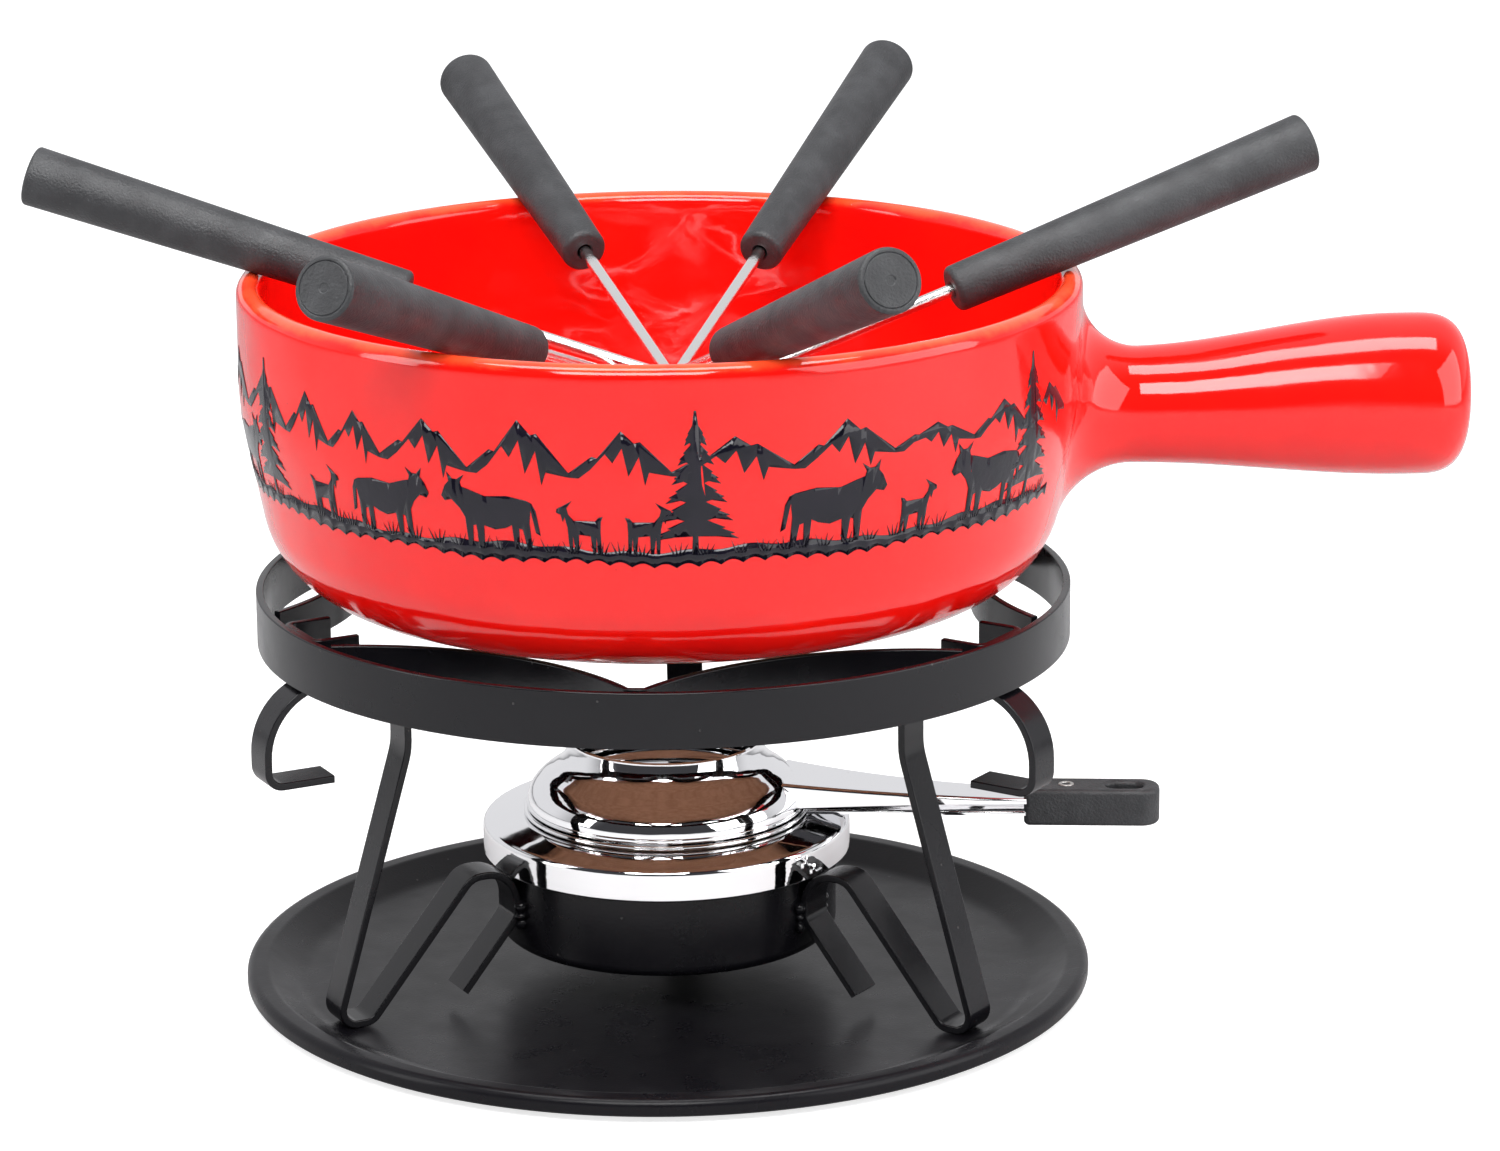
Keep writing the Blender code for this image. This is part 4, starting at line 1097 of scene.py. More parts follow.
@dataclass
class Burner(SubAssembly):
    """Fuel pan with its collar, the gauze and the flame regulator."""

    chrome: bpy.types.Material
    steel: bpy.types.Material
    plastic: bpy.types.Material
    strip: StripTool
    gauze: GauzeTool
    lip_inset: float = 0.0100
    cup_wall: float = 0.0012
    lever_azimuth: float = math.radians(-4.0)
    lever_width: float = 0.0110
    lever_sheet: float = 0.0012
    root_width: float = 0.0230
    root_rise: float = 0.0056
    root_reach: float = 0.0110
    dome_mouth: float = 0.0256
    dome_flange: float = 0.0014
    dome_sheet: float = 0.0010
    catch_azimuth: float = math.radians(-41.0)
    grip_start: float = 0.0955
    grip_length: float = 0.0360
    grip_width: float = 0.0120
    grip_hole_length: float = 0.0098
    grip_hole_width: float = 0.0056
    lever_overlap: float = 0.42
    rivet_shares: Point = (0.12, 0.31)
    segments: int = 192

    def __post_init__(self) -> None:
        """Read the burner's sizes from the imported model."""
        pan_low, pan_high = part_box("burner_pan")
        self.collar_radius, self.pan_bottom = pan_high[0], pan_low[2]
        self.lip_top = pan_high[2]
        self.cup_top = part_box("burner_cup")[1][2]
        self.cup_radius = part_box("burner_cup")[1][0]
        self.collar_bottom = self.cup_top + 0.0003
        self.collar_top = self.lip_top - 0.0018
        plate_low, plate_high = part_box("regulator_plate")
        self.plate_bottom, self.plate_top = plate_low[2], plate_high[2]
        self.plate_radius = -plate_low[0]
        dome_low, dome_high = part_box("snuffer_dome")
        self.dome_bottom, self.dome_top = dome_low[2], dome_high[2]
        self.dome_radius = -dome_low[0]
        self.lever = Matrix.Rotation(self.lever_azimuth, 4, "Z")
        grip_low, grip_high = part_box("burner_grip")
        self.grip_level = (grip_low[2] + grip_high[2]) / 2
        self.grip_height = grip_high[2] - grip_low[2]

    def build(self) -> None:
        """Make every piece of the burner."""
        self.build_pan()
        self.build_gauze()
        self.build_plate()
        self.build_dome()
        self.build_grip()

    def build_pan(self) -> None:
        """Make the fuel pan, its rolled collar and the stamped catch."""
        skirt = self.cup_radius - self.cup_wall - 0.0008
        lip = self.collar_radius - self.lip_inset
        wall = 0.0009
        outline = rounded_path([
            (0.0, self.pan_bottom, 0.0), (skirt, self.pan_bottom, 0.0030),
            (skirt, self.collar_bottom, 0.0003), (self.collar_radius, self.collar_bottom, 0.0006),
            (self.collar_radius, self.collar_top, 0.0016), (lip + 0.0004, self.lip_top, 0.0012),
            (lip - 0.0020, self.lip_top, 0.0003), (lip - 0.0020, self.lip_top - 0.0014, 0.0003),
            (skirt - wall, self.collar_top - wall, 0.0006),
            (skirt - wall, self.pan_bottom + wall, 0.0024), (0.0, self.pan_bottom + wall, 0.0)], 7.0)
        pan = add_object("pan_with_collar", lathe(pairs(outline), self.segments), self.chrome)
        weight_normals(pan)
        self.fit(pan, Body.BURNER, Slot.CHROME, "burner_pan")
        self.build_catch()

    def build_catch(self) -> None:
        """Make the stamped Z on the collar's band that locks it to the cup."""
        height = self.collar_top - self.collar_bottom
        middle = (self.collar_top + self.collar_bottom) / 2
        corners = [(-0.0052, 0.30, 0.0), (-0.0005, 0.34, 0.0016), (-0.0030, -0.10, 0.0016),
                   (0.0030, 0.02, 0.0012), (0.0008, -0.34, 0.0012), (0.0056, -0.30, 0.0)]
        shape = rounded_path([(x, y * height, radius) for x, y, radius in corners], 12.0)
        path = []
        for spot in shape:
            turn = self.catch_azimuth + spot.x / self.collar_radius
            radius = self.collar_radius - 0.00035
            path.append(Vector((radius * math.cos(turn), radius * math.sin(turn), middle + spot.y)))
        outward = (math.cos(self.catch_azimuth), math.sin(self.catch_azimuth), 0.0)
        mesh = self.strip.bend(path, outward, 0.0016, 0.0013, self.chrome, edge=0.00055)
        catch = add_object("collar_catch", mesh, self.chrome, 60.0)
        self.fit(catch, Body.BURNER, Slot.CHROME)

    def build_gauze(self) -> None:
        """Make the wire gauze in its flat frame, and dress its support."""
        low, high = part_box("burner_gauze")
        radius = high[0]
        frame_ring = rounded_path([
            (radius - 0.0022, low[2], 0.0004), (radius, low[2], 0.0006),
            (radius, high[2], 0.0004), (radius - 0.0010, high[2], 0.0003),
            (radius - 0.0014, low[2] + 0.0010, 0.0003), (radius - 0.0022, low[2] + 0.0010, 0.0003)])
        ring = lathe(pairs(frame_ring), 128)
        wires = self.gauze.run([Vector((0.0, 0.0, 0.0))], [], self.steel, Radius=radius - 0.0012,
                               Spacing=0.0011, Wire_Radius=0.00022, Level=low[2] + 0.0004)
        ring.from_mesh(wires)
        bpy.data.meshes.remove(wires)
        cap = add_object("gauze_cap", ring, self.steel)
        self.fit(cap, Body.BURNER, Slot.GAUZE_STEEL, "burner_gauze")
        support = frame["nodes"]["gauze_support"]
        for place in support.material_slots:
            place.material = self.steel

    def build_plate(self) -> None:
        """Make the regulator's lower disc with its own arm."""
        hole = self.dome_mouth * 0.9
        outline = rounded_path([
            (hole, self.plate_bottom, 0.0004), (self.plate_radius, self.plate_bottom, 0.0005),
            (self.plate_radius, self.plate_top, 0.0005), (hole, self.plate_top, 0.0004)])
        disc = lathe(pairs(outline), self.segments)
        start = self.plate_radius - self.root_reach / 2
        append_mesh(disc, self.arm(start, self.lever_width, self.plate_top, self.plate_top,
                                   self.plate_bottom))
        plate = add_object("regulator_disc", disc, self.chrome)
        weight_normals(plate)
        self.fit(plate, Body.BURNER_HEAD, Slot.CHROME, "regulator_plate")

    def arm(self, start: float, root_width: float, root_top: float, tip_top: float,
            low: float) -> bmesh.types.BMesh:
        """Make a sheet arm with its long edges folded down.

        Args:
            start: Distance of its root from the axis.
            root_width: Width over the folded edges at the root.
            root_top: Height of its top at the root.
            tip_top: Height of its top in the grip.
            low: Height that its folded edges reach down to.

        Returns:
            The arm, turned to the lever's direction.
        """
        end = self.grip_start + self.grip_length * self.lever_overlap
        sheet = 0.0008
        rings = []
        count = 28
        for step in range(count + 1):
            share = step / count
            x = start + (end - start) * share
            ease = (1 - share) ** 2
            top = tip_top + (root_top - tip_top) * ease
            half = (self.lever_width + (root_width - self.lever_width) * ease) / 2
            bend = min(0.0009, (top - low) * 0.45)
            outer = rounded_path([(-half, low, 0.0), (-half, top, bend), (half, top, bend),
                                  (half, low, 0.0)], 22.5)
            inner = rounded_path([
                (half - sheet, low, 0.0), (half - sheet, top - sheet, bend * 0.3),
                (-half + sheet, top - sheet, bend * 0.3), (-half + sheet, low, 0.0)], 22.5)
            rings.append([self.lever @ Vector((x, spot.x, spot.y)) for spot in outer + inner])
        return lofted(rings)

    def build_dome(self) -> None:
        """Make the flared dome with its rolled lip, foot flange and arm."""
        base, height, sheet = self.dome_bottom, self.dome_top - self.dome_bottom, self.dome_sheet
        radius, mouth, flange = self.dome_radius, self.dome_mouth, self.dome_flange
        run, rise = radius - mouth, height - flange
        shares = ((0.02, 0.985), (0.13, 0.955), (0.26, 0.855), (0.40, 0.66), (0.53, 0.40),
                  (0.66, 0.19), (0.82, 0.06), (0.955, 0.0))
        body = flowing([(mouth + run * out, flange + rise * up) for up, out in shares], 8)
        outer = rounded_path([(radius - 0.0020, 0.0, 0.0), (radius, 0.0, 0.0005),
                              (radius, flange, 0.0005), (body[0][0], flange, 0.0)])
        outer = pairs(outer) + body[1:]
        outer += [(mouth, height - 0.0004), (mouth - 0.0004, height)]
        inner = [(mouth - sheet, height - 0.0002)]
        inner += [(r - sheet, max(z - sheet * 0.8, 0.0003)) for r, z in body[::-1]]
        outline = [(r, base + z) for r, z in outer + inner]
        dome = lathe(outline, self.segments)
        start = radius - self.root_reach / 2
        low = base + 0.0018
        tip_top = low + self.lever_sheet
        append_mesh(dome, self.arm(start, self.root_width, tip_top + self.root_rise, tip_top, low))
        item = add_object("dome_flared", dome, self.chrome)
        weight_normals(item)
        self.fit(item, Body.BURNER_HEAD, Slot.CHROME, "snuffer_dome")

    def build_grip(self) -> None:
        """Make the moulded grip with its oval hole, and its rivets."""
        bevel = 0.0013
        flat = bpy.data.curves.new("grip_outline", "CURVE")
        flat.dimensions = "2D"
        flat.fill_mode = "BOTH"
        flat.extrude = self.grip_height / 2 - bevel
        flat.bevel_depth = bevel
        flat.bevel_resolution = 4
        flat.offset = -bevel
        start, length, half = self.grip_start, self.grip_length, self.grip_width / 2
        outer = rounded_path([
            (start + length / 2, -half, 0.0), (start + length, -half, 0.0050),
            (start + length, half, 0.0050), (start, half, 0.0016), (start, -half, 0.0016),
            (start + length / 2 - 0.001, -half, 0.0)], 10.0)
        hole_centre = start + length * 0.74
        radius = self.grip_hole_width / 2
        reach = (self.grip_hole_length - self.grip_hole_width) / 2
        hole = []
        for step in range(40):
            turn = 2 * math.pi * (step + 0.5) / 40
            shift = math.copysign(reach, math.cos(turn))
            hole.append(Vector((hole_centre + shift + math.cos(turn) * radius,
                                -math.sin(turn) * radius)))
        for shape in (outer, hole):
            spline = flat.splines.new("POLY")
            spline.points.add(len(shape) - 1)
            for place, spot in zip(spline.points, shape):
                place.co = (spot.x, spot.y, 0.0, 1.0)
            spline.use_cyclic_u = True
        guide = bpy.data.objects.new("grip_guide", flat)
        bpy.context.scene.collection.objects.link(guide)
        graph = bpy.context.evaluated_depsgraph_get()
        mesh = bpy.data.meshes.new_from_object(guide.evaluated_get(graph))
        bpy.data.objects.remove(guide, do_unlink=True)
        bpy.data.curves.remove(flat)
        shape = bmesh.new()
        shape.from_mesh(mesh)
        bpy.data.meshes.remove(mesh)
        bmesh.ops.remove_doubles(shape, verts=shape.verts, dist=1e-6)
        bmesh.ops.transform(shape, matrix=self.lever @ Matrix.Translation((0, 0, self.grip_level)),
                            verts=shape.verts)
        bmesh.ops.recalc_face_normals(shape, faces=shape.faces)
        grip = add_object("grip_moulded", shape, self.plastic)
        weight_normals(grip)
        self.fit(grip, Body.BURNER_HEAD, Slot.FORK_BLACK, "burner_grip")
        for number, share in enumerate(self.rivet_shares, start=1):
            reach = self.grip_height / 2 + 0.0002
            head = 0.0021
            outline = rounded_path([
                (0.0, -reach, 0.0), (head, -reach, 0.0003), (head, reach, 0.0003),
                (head * 0.6, reach, 0.0), (head * 0.45, reach - 0.0006, 0.0),
                (0.0, reach - 0.0006, 0.0)])
            place = self.lever @ Matrix.Translation((start + length * share, 0, self.grip_level))
            rivet = add_object(f"rivet_{number}", lathe(pairs(outline), 40, place), self.steel)
            self.fit(rivet, Body.BURNER_HEAD, Slot.GAUZE_STEEL, f"grip_rivet_{number}")


@dataclass
class Caquelon(SubAssembly):
    """Glazed stoneware pot with a side handle and a printed alpine band."""

    glaze: bpy.types.Material
    ink: bpy.types.Material
    wall: float = 0.0064
    floor: float = 0.0068
    corner: float = 0.0260
    taper: float = 0.0095
    straight: float = 0.0320
    bead: float = 0.0032
    handle_length: float = 0.1017
    handle_drop: float = 0.0370
    handle_rise: float = 0.0020
    neck: Point = (0.0150, 0.0153)
    end: Point = (0.0195, 0.0213)
    cap: float = 0.0150
    fillet: float = 0.0150
    band_drop: float = 0.0515
    film: float = 0.00008
    segments: int = 288
    patch_columns: int = 44

    def __post_init__(self) -> None:
        """Read the pot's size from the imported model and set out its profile."""
        low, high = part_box("fondue_pot")
        self.radius = -low[0]
        self.bottom, self.rim = low[2], high[2]
        self.inside = self.radius - self.wall
        self.foot = self.radius - self.taper
        self.bead_level = self.rim - self.bead
        self.outer = self.even(pairs(rounded_path([
            (self.foot - self.corner * 0.9, self.bottom, 0.0), (self.foot, self.bottom, self.corner),
            (self.radius, self.rim - self.straight, 0.060),
            (self.radius, self.bead_level, 0.0)], 3.0)), 0.0011)

    @staticmethod
    def even(outline: Outline, step: float) -> Outline:
        """Divide the long stretches of an outline.

        Args:
            outline: Open outline.
            step: Longest stretch to leave.

        Returns:
            The finer outline.
        """
        result = [outline[0]]
        for here, there in zip(outline, outline[1:]):
            start, stop = Vector(here), Vector(there)
            parts = max(1, math.ceil((stop - start).length / step))
            result += [tuple(start.lerp(stop, part / parts)) for part in range(1, parts + 1)]
        return result

    def wall_radius(self, height: float) -> float:
        """Outer radius of the bowl at a height.

        Args:
            height: Height above the table.

        Returns:
            The radius there.
        """
        return self.on_wall(0.0, self.row_at(height)).x

    def row_at(self, height: float) -> float:
        """Row of the outer profile, with its fraction, at a height.

        Args:
            height: Height above the table.

        Returns:
            The row, as a number between two profile points.
        """
        for row, (low, high) in enumerate(zip(self.outer, self.outer[1:])):
            if low[1] <= height <= high[1] and high[1] > low[1]:
                return row + (height - low[1]) / (high[1] - low[1])
        return float(len(self.outer) - 1)

    def on_wall(self, turn: float, row: float, proud: float = 0.0) -> Vector:
        """Point of the outer wall.

        Args:
            turn: Angle about the axis.
            row: Row of the profile, with its fraction.
            proud: How far to stand off the wall.

        Returns:
            The point.
        """
        index = min(int(row), len(self.outer) - 2)
        share = row - index
        radius = self.outer[index][0] * (1 - share) + self.outer[index + 1][0] * share + proud
        height = self.outer[index][1] * (1 - share) + self.outer[index + 1][1] * share
        return Vector((radius * math.cos(turn), radius * math.sin(turn), height))

    def handle_section(self, travel: float) -> tuple[float, float, float]:
        """Half width, half height and level of the handle.

        Args:
            travel: Distance from the wall.

        Returns:
            The three sizes.
        """
        share = min(max(travel / self.handle_length, 0.0), 1.0)
        swell = min(max((share - 0.12) / 0.70, 0.0), 1.0)
        swell = swell ** 2 * (3 - 2 * swell)
        into = max(travel - (self.handle_length - self.cap), 0.0) / self.cap
        cap = (1 - min(into, 1.0) ** 3.2) ** (1 / 3.2)
        left = max(self.fillet - max(travel, 0.0), 0.0)
        flare = self.fillet - math.sqrt(self.fillet ** 2 - left ** 2)
        half_width = (self.neck[0] + (self.end[0] - self.neck[0]) * swell) * cap + flare * 0.8
        half_height = (self.neck[1] + (self.end[1] - self.neck[1]) * swell) * cap + flare
        return half_width, half_height, self.rim - self.handle_drop + self.handle_rise * swell

    def build(self) -> None:
        """Make the pot and the print on it."""
        self.build_pot()
        self.build_print()

    def profile_inside(self) -> Outline:
        """Bead and inner wall down to the middle of the floor."""
        centre = self.radius - self.bead
        bead = [(centre + self.bead * math.cos(math.pi * step / 14),
                 self.bead_level + self.bead * math.sin(math.pi * step / 14)) for step in range(1, 14)]
        inner = pairs(rounded_path([
            (self.inside, self.bead_level, 0.0), (self.inside, self.rim - self.straight, 0.060),
            (self.foot - self.wall, self.bottom + self.floor, self.corner - self.wall),
            (self.corner, self.bottom + self.floor, 0.0)], 3.0))
        inner = self.even(inner, 0.0030)
        return bead + inner + [(0.0, self.bottom + self.floor)]

    def build_pot(self) -> None:
        """Make the bowl with the handle drawn out of its wall."""
        half_columns = self.patch_columns // 2
        low_row = int(self.row_at(self.bottom + 0.0085))
        high_row = int(self.row_at(self.rim - 0.0046))
        builder = bmesh.new()
        grid = [[builder.verts.new(self.on_wall(2 * math.pi * step / self.segments, row))
                 for step in range(self.segments)] for row in range(len(self.outer))]

        def inside_patch(row: int, step: int) -> bool:
            """Whether a wall face lies where the handle's root goes."""
            near = step < half_columns or step >= self.segments - half_columns
            return near and low_row <= row < high_row

        for row in range(len(grid) - 1):
            for step in range(self.segments):
                if not inside_patch(row, step):
                    after = (step + 1) % self.segments
                    builder.faces.new((grid[row][step], grid[row][after], grid[row + 1][after],
                                       grid[row + 1][step]))
        self.close_bowl(builder, grid)
        border = self.patch_border(low_row, high_row, half_columns)
        rings = [[grid[row][step % self.segments] for step, row in border]]
        rings += self.root_rings(builder, border)
        rings += self.handle_rings(builder, border)
        for ring, following in zip(rings, rings[1:]):
            for step in range(len(ring)):
                after = (step + 1) % len(ring)
                builder.faces.new((ring[step], ring[after], following[after], following[step]))
        tip_level = self.handle_section(self.handle_length)[2]
        tip = builder.verts.new((self.radius + self.handle_length, 0.0, tip_level))
        last = rings[-1]
        for step in range(len(last)):
            builder.faces.new((last[step], last[(step + 1) % len(last)], tip))
        loose = [vert for vert in builder.verts if not vert.link_faces]
        bmesh.ops.delete(builder, geom=loose, context="VERTS")
        bmesh.ops.recalc_face_normals(builder, faces=builder.faces)
        pot = add_object("pot_glazed", builder, self.glaze, 60.0)
        self.fit(pot, Body.POT, Slot.RED_GLAZE, "fondue_pot")

    def close_bowl(self, builder: bmesh.types.BMesh, grid: list) -> None:
        """Join the wall to the inside above it and to the foot below it.

        Args:
            builder: Mesh that holds the wall.
            grid: The wall's vertices by row.
        """
        recess = 0.0011
        first = self.outer[0][0]
        below = [(first - 0.0040, self.bottom), (first - 0.0052, self.bottom + recess * 0.5),
                 (first - 0.0066, self.bottom + recess), (first * 0.5, self.bottom + recess),
                 (0.0, self.bottom + recess)]
        for outline, start in ((self.profile_inside(), grid[-1]), (below, grid[0])):
            previous = start
            for radius, height in outline:
                if radius < 1e-7:
                    pole = builder.verts.new((0.0, 0.0, height))
                    for step in range(self.segments):
                        after = (step + 1) % self.segments
                        builder.faces.new((previous[step], previous[after], pole))
                    continue
                ring = []
                for step in range(self.segments):
                    turn = 2 * math.pi * step / self.segments
                    ring.append(builder.verts.new((radius * math.cos(turn),
                                                   radius * math.sin(turn), height)))
                for step in range(self.segments):
                    after = (step + 1) % self.segments
                    builder.faces.new((previous[step], previous[after], ring[after], ring[step]))
                previous = ring

    @staticmethod
    def patch_border(low: int, high: int, half: int) -> list[tuple[int, int]]:
        """Grid places round the handle's root, in order.

        Args:
            low: Lowest row.
            high: Highest row.
            half: Columns on each side of the handle.

        Returns:
            (column, row) of each place.
        """
        right = [(half, row) for row in range(low, high)]
        top = [(step, high) for step in range(half, -half, -1)]
        left = [(-half, row) for row in range(high, low, -1)]
        bottom = [(step, low) for step in range(-half, half)]
        return right + top + left + bottom

    def border_angles(self, border: list[tuple[int, int]]) -> list[float]:
        """Direction of each border place from the handle's middle.

        Args:
            border: What patch_border returned.

        Returns:
            Angles in the handle's own section.
        """
        half_width, half_height, level = self.handle_section(0.0)
        angles = []
        for step, row in border:
            spot = self.on_wall(2 * math.pi * step / self.segments, row)
            angles.append(math.atan2((spot.z - level) / half_height, spot.y / half_width))
        return angles

    def root_place(self, angle: float) -> tuple[float, float]:
        """Turn and row of the handle's root on the wall.

        Args:
            angle: Direction in the handle's section.

        Returns:
            Angle about the axis, and row with its fraction.
        """
        half_width, half_height, level = self.handle_section(0.0)
        height = level + half_height * math.sin(angle)
        row = self.row_at(height)
        turn = math.asin(half_width * math.cos(angle) / self.on_wall(0.0, row).x)
        return turn, row

    def root_rings(self, builder: bmesh.types.BMesh, border: list[tuple[int, int]]) -> list:
        """Rings that lead from the wall's grid to the handle's root.

        Args:
            builder: Mesh to add to.
            border: Grid places round the root.

        Returns:
            The rings; the last one is the root itself.
        """
        angles = self.border_angles(border)
        rings = []
        parts = 5
        for part in range(1, parts + 1):
            share = part / parts
            ring = []
            for (step, row), angle in zip(border, angles):
                turn, root_row = self.root_place(angle)
                outer_turn = 2 * math.pi * step / self.segments
                ring.append(builder.verts.new(self.on_wall(
                    outer_turn + (turn - outer_turn) * share, row + (root_row - row) * share)))
            rings.append(ring)
        return rings

    def handle_rings(self, builder: bmesh.types.BMesh, border: list[tuple[int, int]]) -> list:
        """Rings along the handle, past its root.

        Args:
            builder: Mesh to add to.
            border: Grid places round the root.

        Returns:
            The rings.
        """
        straight_end = self.handle_length - self.cap
        stations = [self.fillet * (1 - math.cos(math.radians(6 * step))) for step in range(1, 16)]
        stations += [self.fillet + (straight_end - self.fillet) * step / 24 for step in range(1, 25)]
        stations += [straight_end + self.cap * math.sin(math.radians(5 * step))
                     for step in range(1, 18)]
        angles = self.border_angles(border)
        rings = []
        for travel in stations:
            half_width, half_height, level = self.handle_section(travel)
            wrap = max(1 - travel / (2 * self.fillet), 0.0)
            ring = []
            for angle in angles:
                y = half_width * math.cos(angle)
                z = level + half_height * math.sin(angle)
                fall = self.radius - math.sqrt(self.wall_radius(z) ** 2 - y ** 2)
                ring.append(builder.verts.new((self.radius + travel - fall * wrap, y, z)))
            rings.append(ring)
        return rings

    def build_print(self) -> None:
        """Make the band of hills, firs and grazing animals."""
        scene = AlpineBand(random.Random(11))
        base = self.rim - self.band_drop

        def place(along: float, up: float, proud: float) -> Vector:
            """Wrap a point of the flat drawing onto the wall."""
            return self.on_wall(along / self.radius, self.row_at(base + up), proud)

        item = add_object("pot_print", scene.draw(self.radius, place), self.ink, 30.0)
        body = item.modifiers.new("film", "SOLIDIFY")
        body.thickness = self.film
        body.offset = -1.0
        self.fit(item, Body.POT, Slot.RED_GLAZE)


@dataclass
class AlpineBand:
    """Flat drawing of a plain alpine band, in metres along and up."""

    dice: random.Random
    start: float = math.radians(24.0)
    stop: float = math.radians(336.0)
    strip_step: float = 0.0016
    meadow: float = 0.0040
    ground_proud: float = 0.00011
    ridge_proud: float = 0.00012
    motif_proud: float = 0.00014
    blade_proud: float = 0.00017
    spacing: float = 0.0060
    fir_spacing: float = 0.023
    cow: tuple[Point, ...] = (
        (0.10, 0.80), (0.40, 0.85), (0.75, 0.82), (1.00, 0.90), (1.12, 0.93), (1.14, 1.00),
        (1.07, 1.12), (1.19, 1.04), (1.27, 1.04), (1.36, 1.14), (1.33, 1.00), (1.40, 0.92),
        (1.47, 0.76), (1.42, 0.69), (1.30, 0.72), (1.18, 0.60), (1.10, 0.46), (1.09, 0.02),
        (1.01, 0.02), (0.98, 0.34), (0.93, 0.36), (0.90, 0.02), (0.82, 0.02), (0.80, 0.36),
        (0.62, 0.31), (0.45, 0.35), (0.35, 0.40), (0.33, 0.02), (0.25, 0.02), (0.24, 0.36),
        (0.18, 0.34), (0.13, 0.02), (0.05, 0.02), (0.07, 0.45), (0.04, 0.66), (-0.02, 0.30),
        (-0.09, 0.26), (-0.04, 0.64), (0.02, 0.76))
    goat: tuple[Point, ...] = (
        (-0.02, 0.72), (0.06, 0.70), (0.12, 0.63), (0.50, 0.63), (0.60, 0.75), (0.62, 0.86),
        (0.52, 1.00), (0.67, 0.91), (0.80, 0.84), (0.81, 0.77), (0.73, 0.74), (0.70, 0.60),
        (0.66, 0.69), (0.62, 0.50), (0.60, 0.02), (0.54, 0.02), (0.53, 0.34), (0.49, 0.02),
        (0.43, 0.02), (0.42, 0.37), (0.21, 0.35), (0.18, 0.02), (0.12, 0.02), (0.11, 0.34),
        (0.08, 0.02), (0.02, 0.02), (0.03, 0.42), (0.02, 0.62))

    def draw(self, radius: float, place: Place) -> bmesh.types.BMesh:
        """Lay every motif round the pot.

        Args:
            radius: Radius that the band is wrapped to.
            place: Takes (along, up, proud) to a point on the wall.

        Returns:
            One mesh of thin faces.
        """
        builder = bmesh.new()
        first, last = self.start * radius, self.stop * radius
        self.ground(builder, place, first, last)
        self.ridges(builder, place, first, last)
        spot = first + 0.010
        order = ("fir", "cow", "goat", "cow", "fir", "goat", "cow", "cow", "goat", "goat")
        index = 0
        while spot < last - 0.012:
            kind = order[index % len(order)]
            if kind == "fir":
                shape = self.fir(0.0355 + 0.004 * self.dice.random())
                self.motif(builder, place, shape, spot, self.motif_proud)
                spot += self.fir_spacing
            elif kind == "cow":
                size = 0.0160 + 0.0025 * self.dice.random()
                way = 1 if self.dice.random() > 0.35 else -1
                shape = [(x * size * way, y * size) for x, y in self.cow]
                start = spot + (0.0 if way > 0 else 1.4 * size)
                self.motif(builder, place, shape, start, self.motif_proud)
                spot += 1.4 * size + self.spacing
            else:
                size = 0.0135 + 0.0020 * self.dice.random()
                way = 1 if self.dice.random() > 0.5 else -1
                shape = [(x * size * way, y * size) for x, y in self.goat]
                start = spot + (0.0 if way > 0 else 0.8 * size)
                self.motif(builder, place, shape, start, self.motif_proud)
                spot += 0.8 * size + self.spacing
            index += 1
        return builder

    def motif(self, builder: bmesh.types.BMesh, place: Place, shape: Sequence[Point], along: float,
              proud: float) -> None:
        """Cut a closed shape into strips and lay it on the wall.

        Args:
            builder: Mesh to add to.
            place: Takes (along, up, proud) to a point on the wall.
            shape: Closed outline with its foot at height 0.
            along: Where its own zero goes.
            proud: Height above the glaze.
        """
        flat = bmesh.new()
        flat.faces.new([flat.verts.new((x + along, y + self.meadow, 0.0)) for x, y in shape])
        flat.normal_update()
        bmesh.ops.triangulate(flat, faces=flat.faces, ngon_method="EAR_CLIP")
        left = min(vert.co.x for vert in flat.verts)
        right = max(vert.co.x for vert in flat.verts)
        cut = left + self.strip_step
        while cut < right:
            geometry = flat.verts[:] + flat.edges[:] + flat.faces[:]
            bmesh.ops.bisect_plane(flat, geom=geometry, dist=1e-7, plane_co=(cut, 0.0, 0.0),
                                   plane_no=(1.0, 0.0, 0.0))
            cut += self.strip_step
        for vert in flat.verts:
            vert.co = place(vert.co.x, vert.co.y, proud)
        for face in flat.faces:
            middle = face.calc_center_median()
            face.normal_update()
            if face.normal.dot(Vector((middle.x, middle.y, 0.0))) < 0:
                face.normal_flip()
        append_mesh(builder, flat)

    def fir(self, height: float) -> Outline:
        """Outline of a fir with drooping, ragged tiers.

        Args:
            height: Height of the tree.

        Returns:
            Closed outline, its foot at height 0.
        """
        tiers = 6
        side = [(0.0009, 0.0), (0.0007, height * 0.13)]
        for tier in range(tiers):
            share = tier / tiers
            level = height * (0.13 + 0.78 * share)
            reach = height * 0.27 * (1 - share) ** 0.9 + 0.0009
            side += [(reach * 0.50, level - height * 0.004), (reach, level - height * 0.026),
                     (reach * 0.80, level + height * 0.010), (reach * 0.90, level + height * 0.016),
                     (reach * 0.60, level + height * 0.050), (reach * 0.68, level + height * 0.058),
                     (reach * 0.26, level + height * 0.112)]
        side.append((0.0003, height * 0.99))
        return side + [(-x * 0.94, y) for x, y in side[::-1]]

